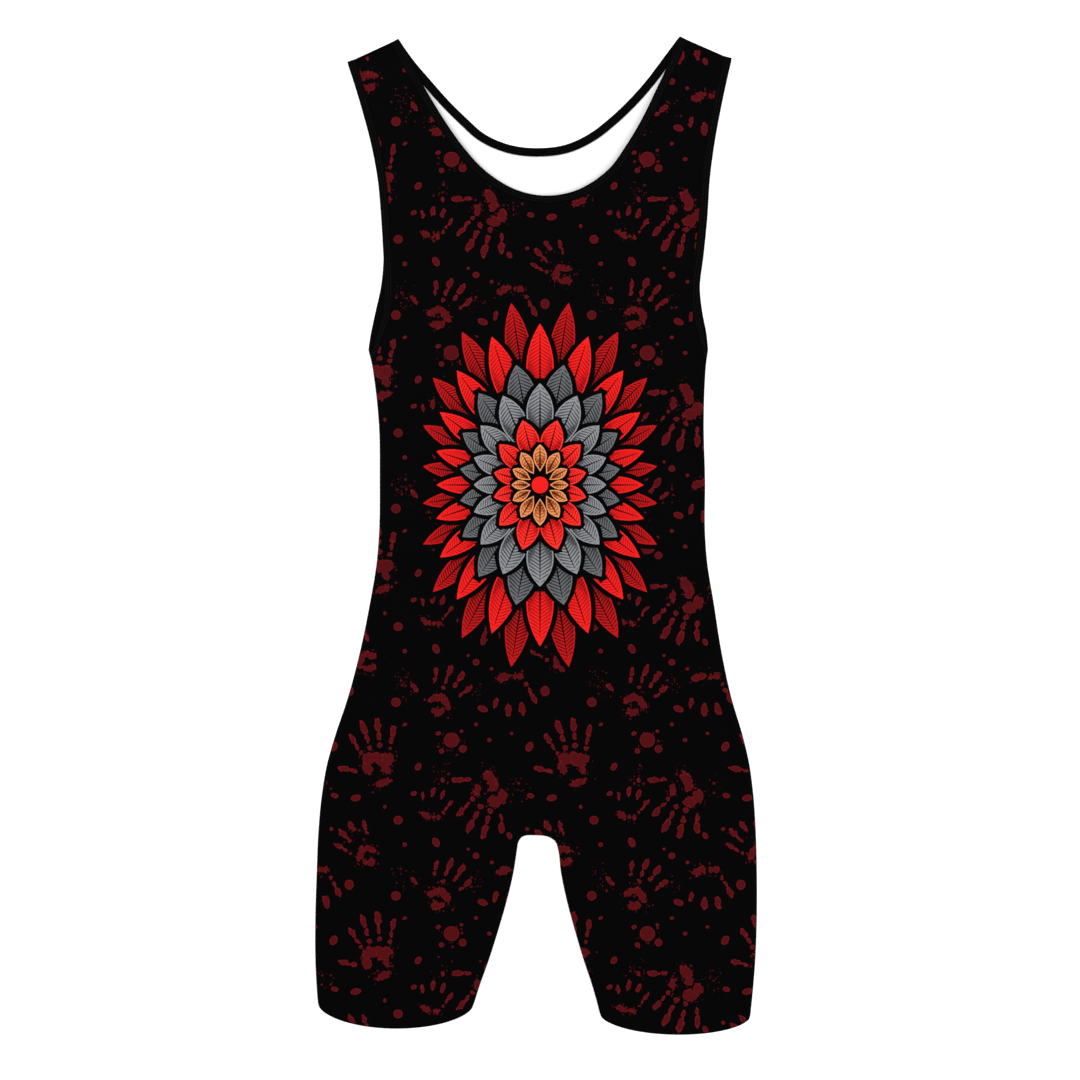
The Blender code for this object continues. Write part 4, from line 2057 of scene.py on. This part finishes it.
@dataclass(frozen=True)
class Thread:
    """Twisted sewing thread."""

    colour: Colour = linear(9, 9, 10)
    lit: float = 1.5  # how much lighter the plies are painted than the grooves between them, as painted shade in the grooves and painted light on the plies
    twist: float = 0.45 * MM  # from one turn to the next
    depth: float = 0.03 * MM
    roughness: float = 0.5
    specular: float = 0.12

    def make(self, name: str) -> bpy.types.Material:
        """The material.

        Args:
            name: Its name.

        Returns:
            The finished material.
        """
        shader = Shader(name)
        place = shader.node("ShaderNodeTexCoord", None, (), "Object")
        x, y = shader.split(place)
        turns = ((x + y) * (2 * math.pi / self.twist)).math("SINE") * 0.5 + 0.5
        # Painted shade and light: the colour is darker in the grooves and lighter on the plies, in
        # step with the bump
        colour = shader.mix(turns, self.colour, tuple(self.lit * part for part in self.colour))
        surface = {
            "Base Color": colour,
            "Roughness": self.roughness,
            "Specular IOR Level": self.specular,
        }
        shader.finish(surface, turns, self.depth)
        return shader.material


# --------------------------------------------------------------------------- the studio


@dataclass(frozen=True)
class Softbox:
    """A square light that looks at a point."""

    place: tuple[float, float, float]
    size: float
    power: float

    def build(self, name: str) -> None:
        """Hangs the light.

        Args:
            name: The light's name.
        """
        data = bpy.data.lights.new(name, "AREA")
        data.shape = "SQUARE"
        data.size = self.size
        data.energy = self.power
        light = bpy.data.objects.new(name, data)
        bpy.context.scene.collection.objects.link(light)
        x, y, z = self.place
        light.location = self.place
        light.rotation_euler = (math.atan2(math.hypot(x, y), z), 0, math.atan2(x, -y))


@dataclass(frozen=True)
class Studio:
    """A pale floor, soft lights and a camera that looks straight down."""

    floor_size: float = 40.0
    floor_drop: float = 0.2 * MM  # how far the floor lies below the cloth
    floor_colour: Colour = linear(244, 244, 244)
    floor_glow: float = 0.5
    floor_roughness: float = 0.9
    floor_specular: float = 0.1
    sky: float = 0.45
    lights: tuple[Softbox, ...] = (
        Softbox((-2.7, 1.0, 1.6), 1.6, 72),
        Softbox((2.8, -0.7, 1.7), 1.8, 63),
        Softbox((0.3, 3.0, 1.7), 1.6, 37),
    )
    lens: float = 100.0  # millimetres
    view_width: float = 0.972  # metres of floor that the frame shows
    middle: tuple[float, float] = (3.5 * MM, -4.2 * MM)

    def build(self) -> None:
        """Makes the floor, the lights and the camera."""
        half = self.floor_size / 2
        corners = np.array([(-half, -half, 0), (half, -half, 0), (half, half, 0), (-half, half, 0)])
        floor = new_object("floor", corners - (0, 0, self.floor_drop), [(0, 1, 2, 3)])
        shader = Shader("pale_floor")
        surface = {
            "Base Color": (*self.floor_colour, 1),
            "Roughness": self.floor_roughness,
            "Specular IOR Level": self.floor_specular,
            "Emission Color": (1, 1, 1, 1),
            "Emission Strength": self.floor_glow,
        }
        shader.finish(surface)
        floor.data.materials.append(shader.material)

        scene = bpy.context.scene
        world = bpy.data.worlds.new("studio")
        world.use_nodes = True
        sky = world.node_tree.nodes["Background"].inputs
        sky["Color"].default_value = (1, 1, 1, 1)
        sky["Strength"].default_value = self.sky
        scene.world = world
        scene.view_settings.view_transform = "Standard"
        for number, light in enumerate(self.lights, 1):
            light.build(f"softbox_{number}")

        data = bpy.data.cameras.new("camera")
        data.lens = self.lens
        camera = bpy.data.objects.new("camera", data)
        scene.collection.objects.link(camera)
        camera.location = (*self.middle, self.view_width * self.lens / data.sensor_width)
        scene.camera = camera


# --------------------------------------------------------------------------- the garment


@dataclass
class Singlet:
    """The whole garment."""

    cut: Cut = field(default_factory=Cut)
    front_area: float = 0.2525  # square metres of the cut that show, with its turned seams
    back_area: float = 0.2615

    def build(self) -> None:
        """Makes every piece."""
        relief = Relief(self.cut)
        front = PrintedKnit(medallion=Medallion()).make("printed_front")
        back = PrintedKnit().make("printed_back")
        white = PlainKnit(linear(246, 246, 246), linear(236, 236, 237)).make("white_inside")
        smoother = Knit(roughness=0.55)
        black = PlainKnit(linear(3, 3, 4), linear(5, 5, 6), smoother).make("binding_knit")
        stitches = Stitches(Thread().make("black_thread"))
        layers = (
            (Face.FRONT, front, "back_panel_cloth", self.front_area),
            (Face.BACK, back, "floor", self.back_area),
        )
        for face, outside, below, area in layers:
            panel = Panel(self.cut, face, relief, outside, white)
            piece = panel.build()
            for binding, stations in self.bindings(face, relief, black):
                strip = binding.build(stations)
                rows = stitches.build(f"{binding.name}_stitches", binding.stitch_paths(stations))
                long = run_of(np.array([station.edge for station in stations]))[-1]
                flat = (binding.shown_width, float(long))

    def bindings(
        self, face: Face, relief: Relief, knit: bpy.types.Material
    ) -> Iterable[tuple[Binding, list[Station]]]:
        """The bindings of one layer with their stations.

        Args:
            face: The layer.
            relief: The front layer's relief.
            knit: The bindings' material.

        Returns:
            Each binding, with its stations in order.
        """
        inset = self.cut.binding_inset
        neck = Binding(self.cut, face, relief, knit, f"neck_binding_{face.value}")
        left, right = (
            neck.half(side, self.cut.neck(face, side), self.cut.neck(face, side, inset))
            for side in Side
        )
        yield neck, left + right[-2::-1]
        for side in Side:
            name = f"armhole_binding_{face.value}_{side.name.lower()}"
            arm = Binding(self.cut, face, relief, knit, name)
            edge, border = (self.cut.armhole(side, face, each) for each in (0.0, inset))
            yield arm, arm.half(side, edge, border)


def main() -> None:
    """Builds the garment and its studio."""
    logging.basicConfig(level=logging.INFO, format="%(message)s")
    Singlet().build()
    Studio().build()


if __name__ == "__main__":
    main()
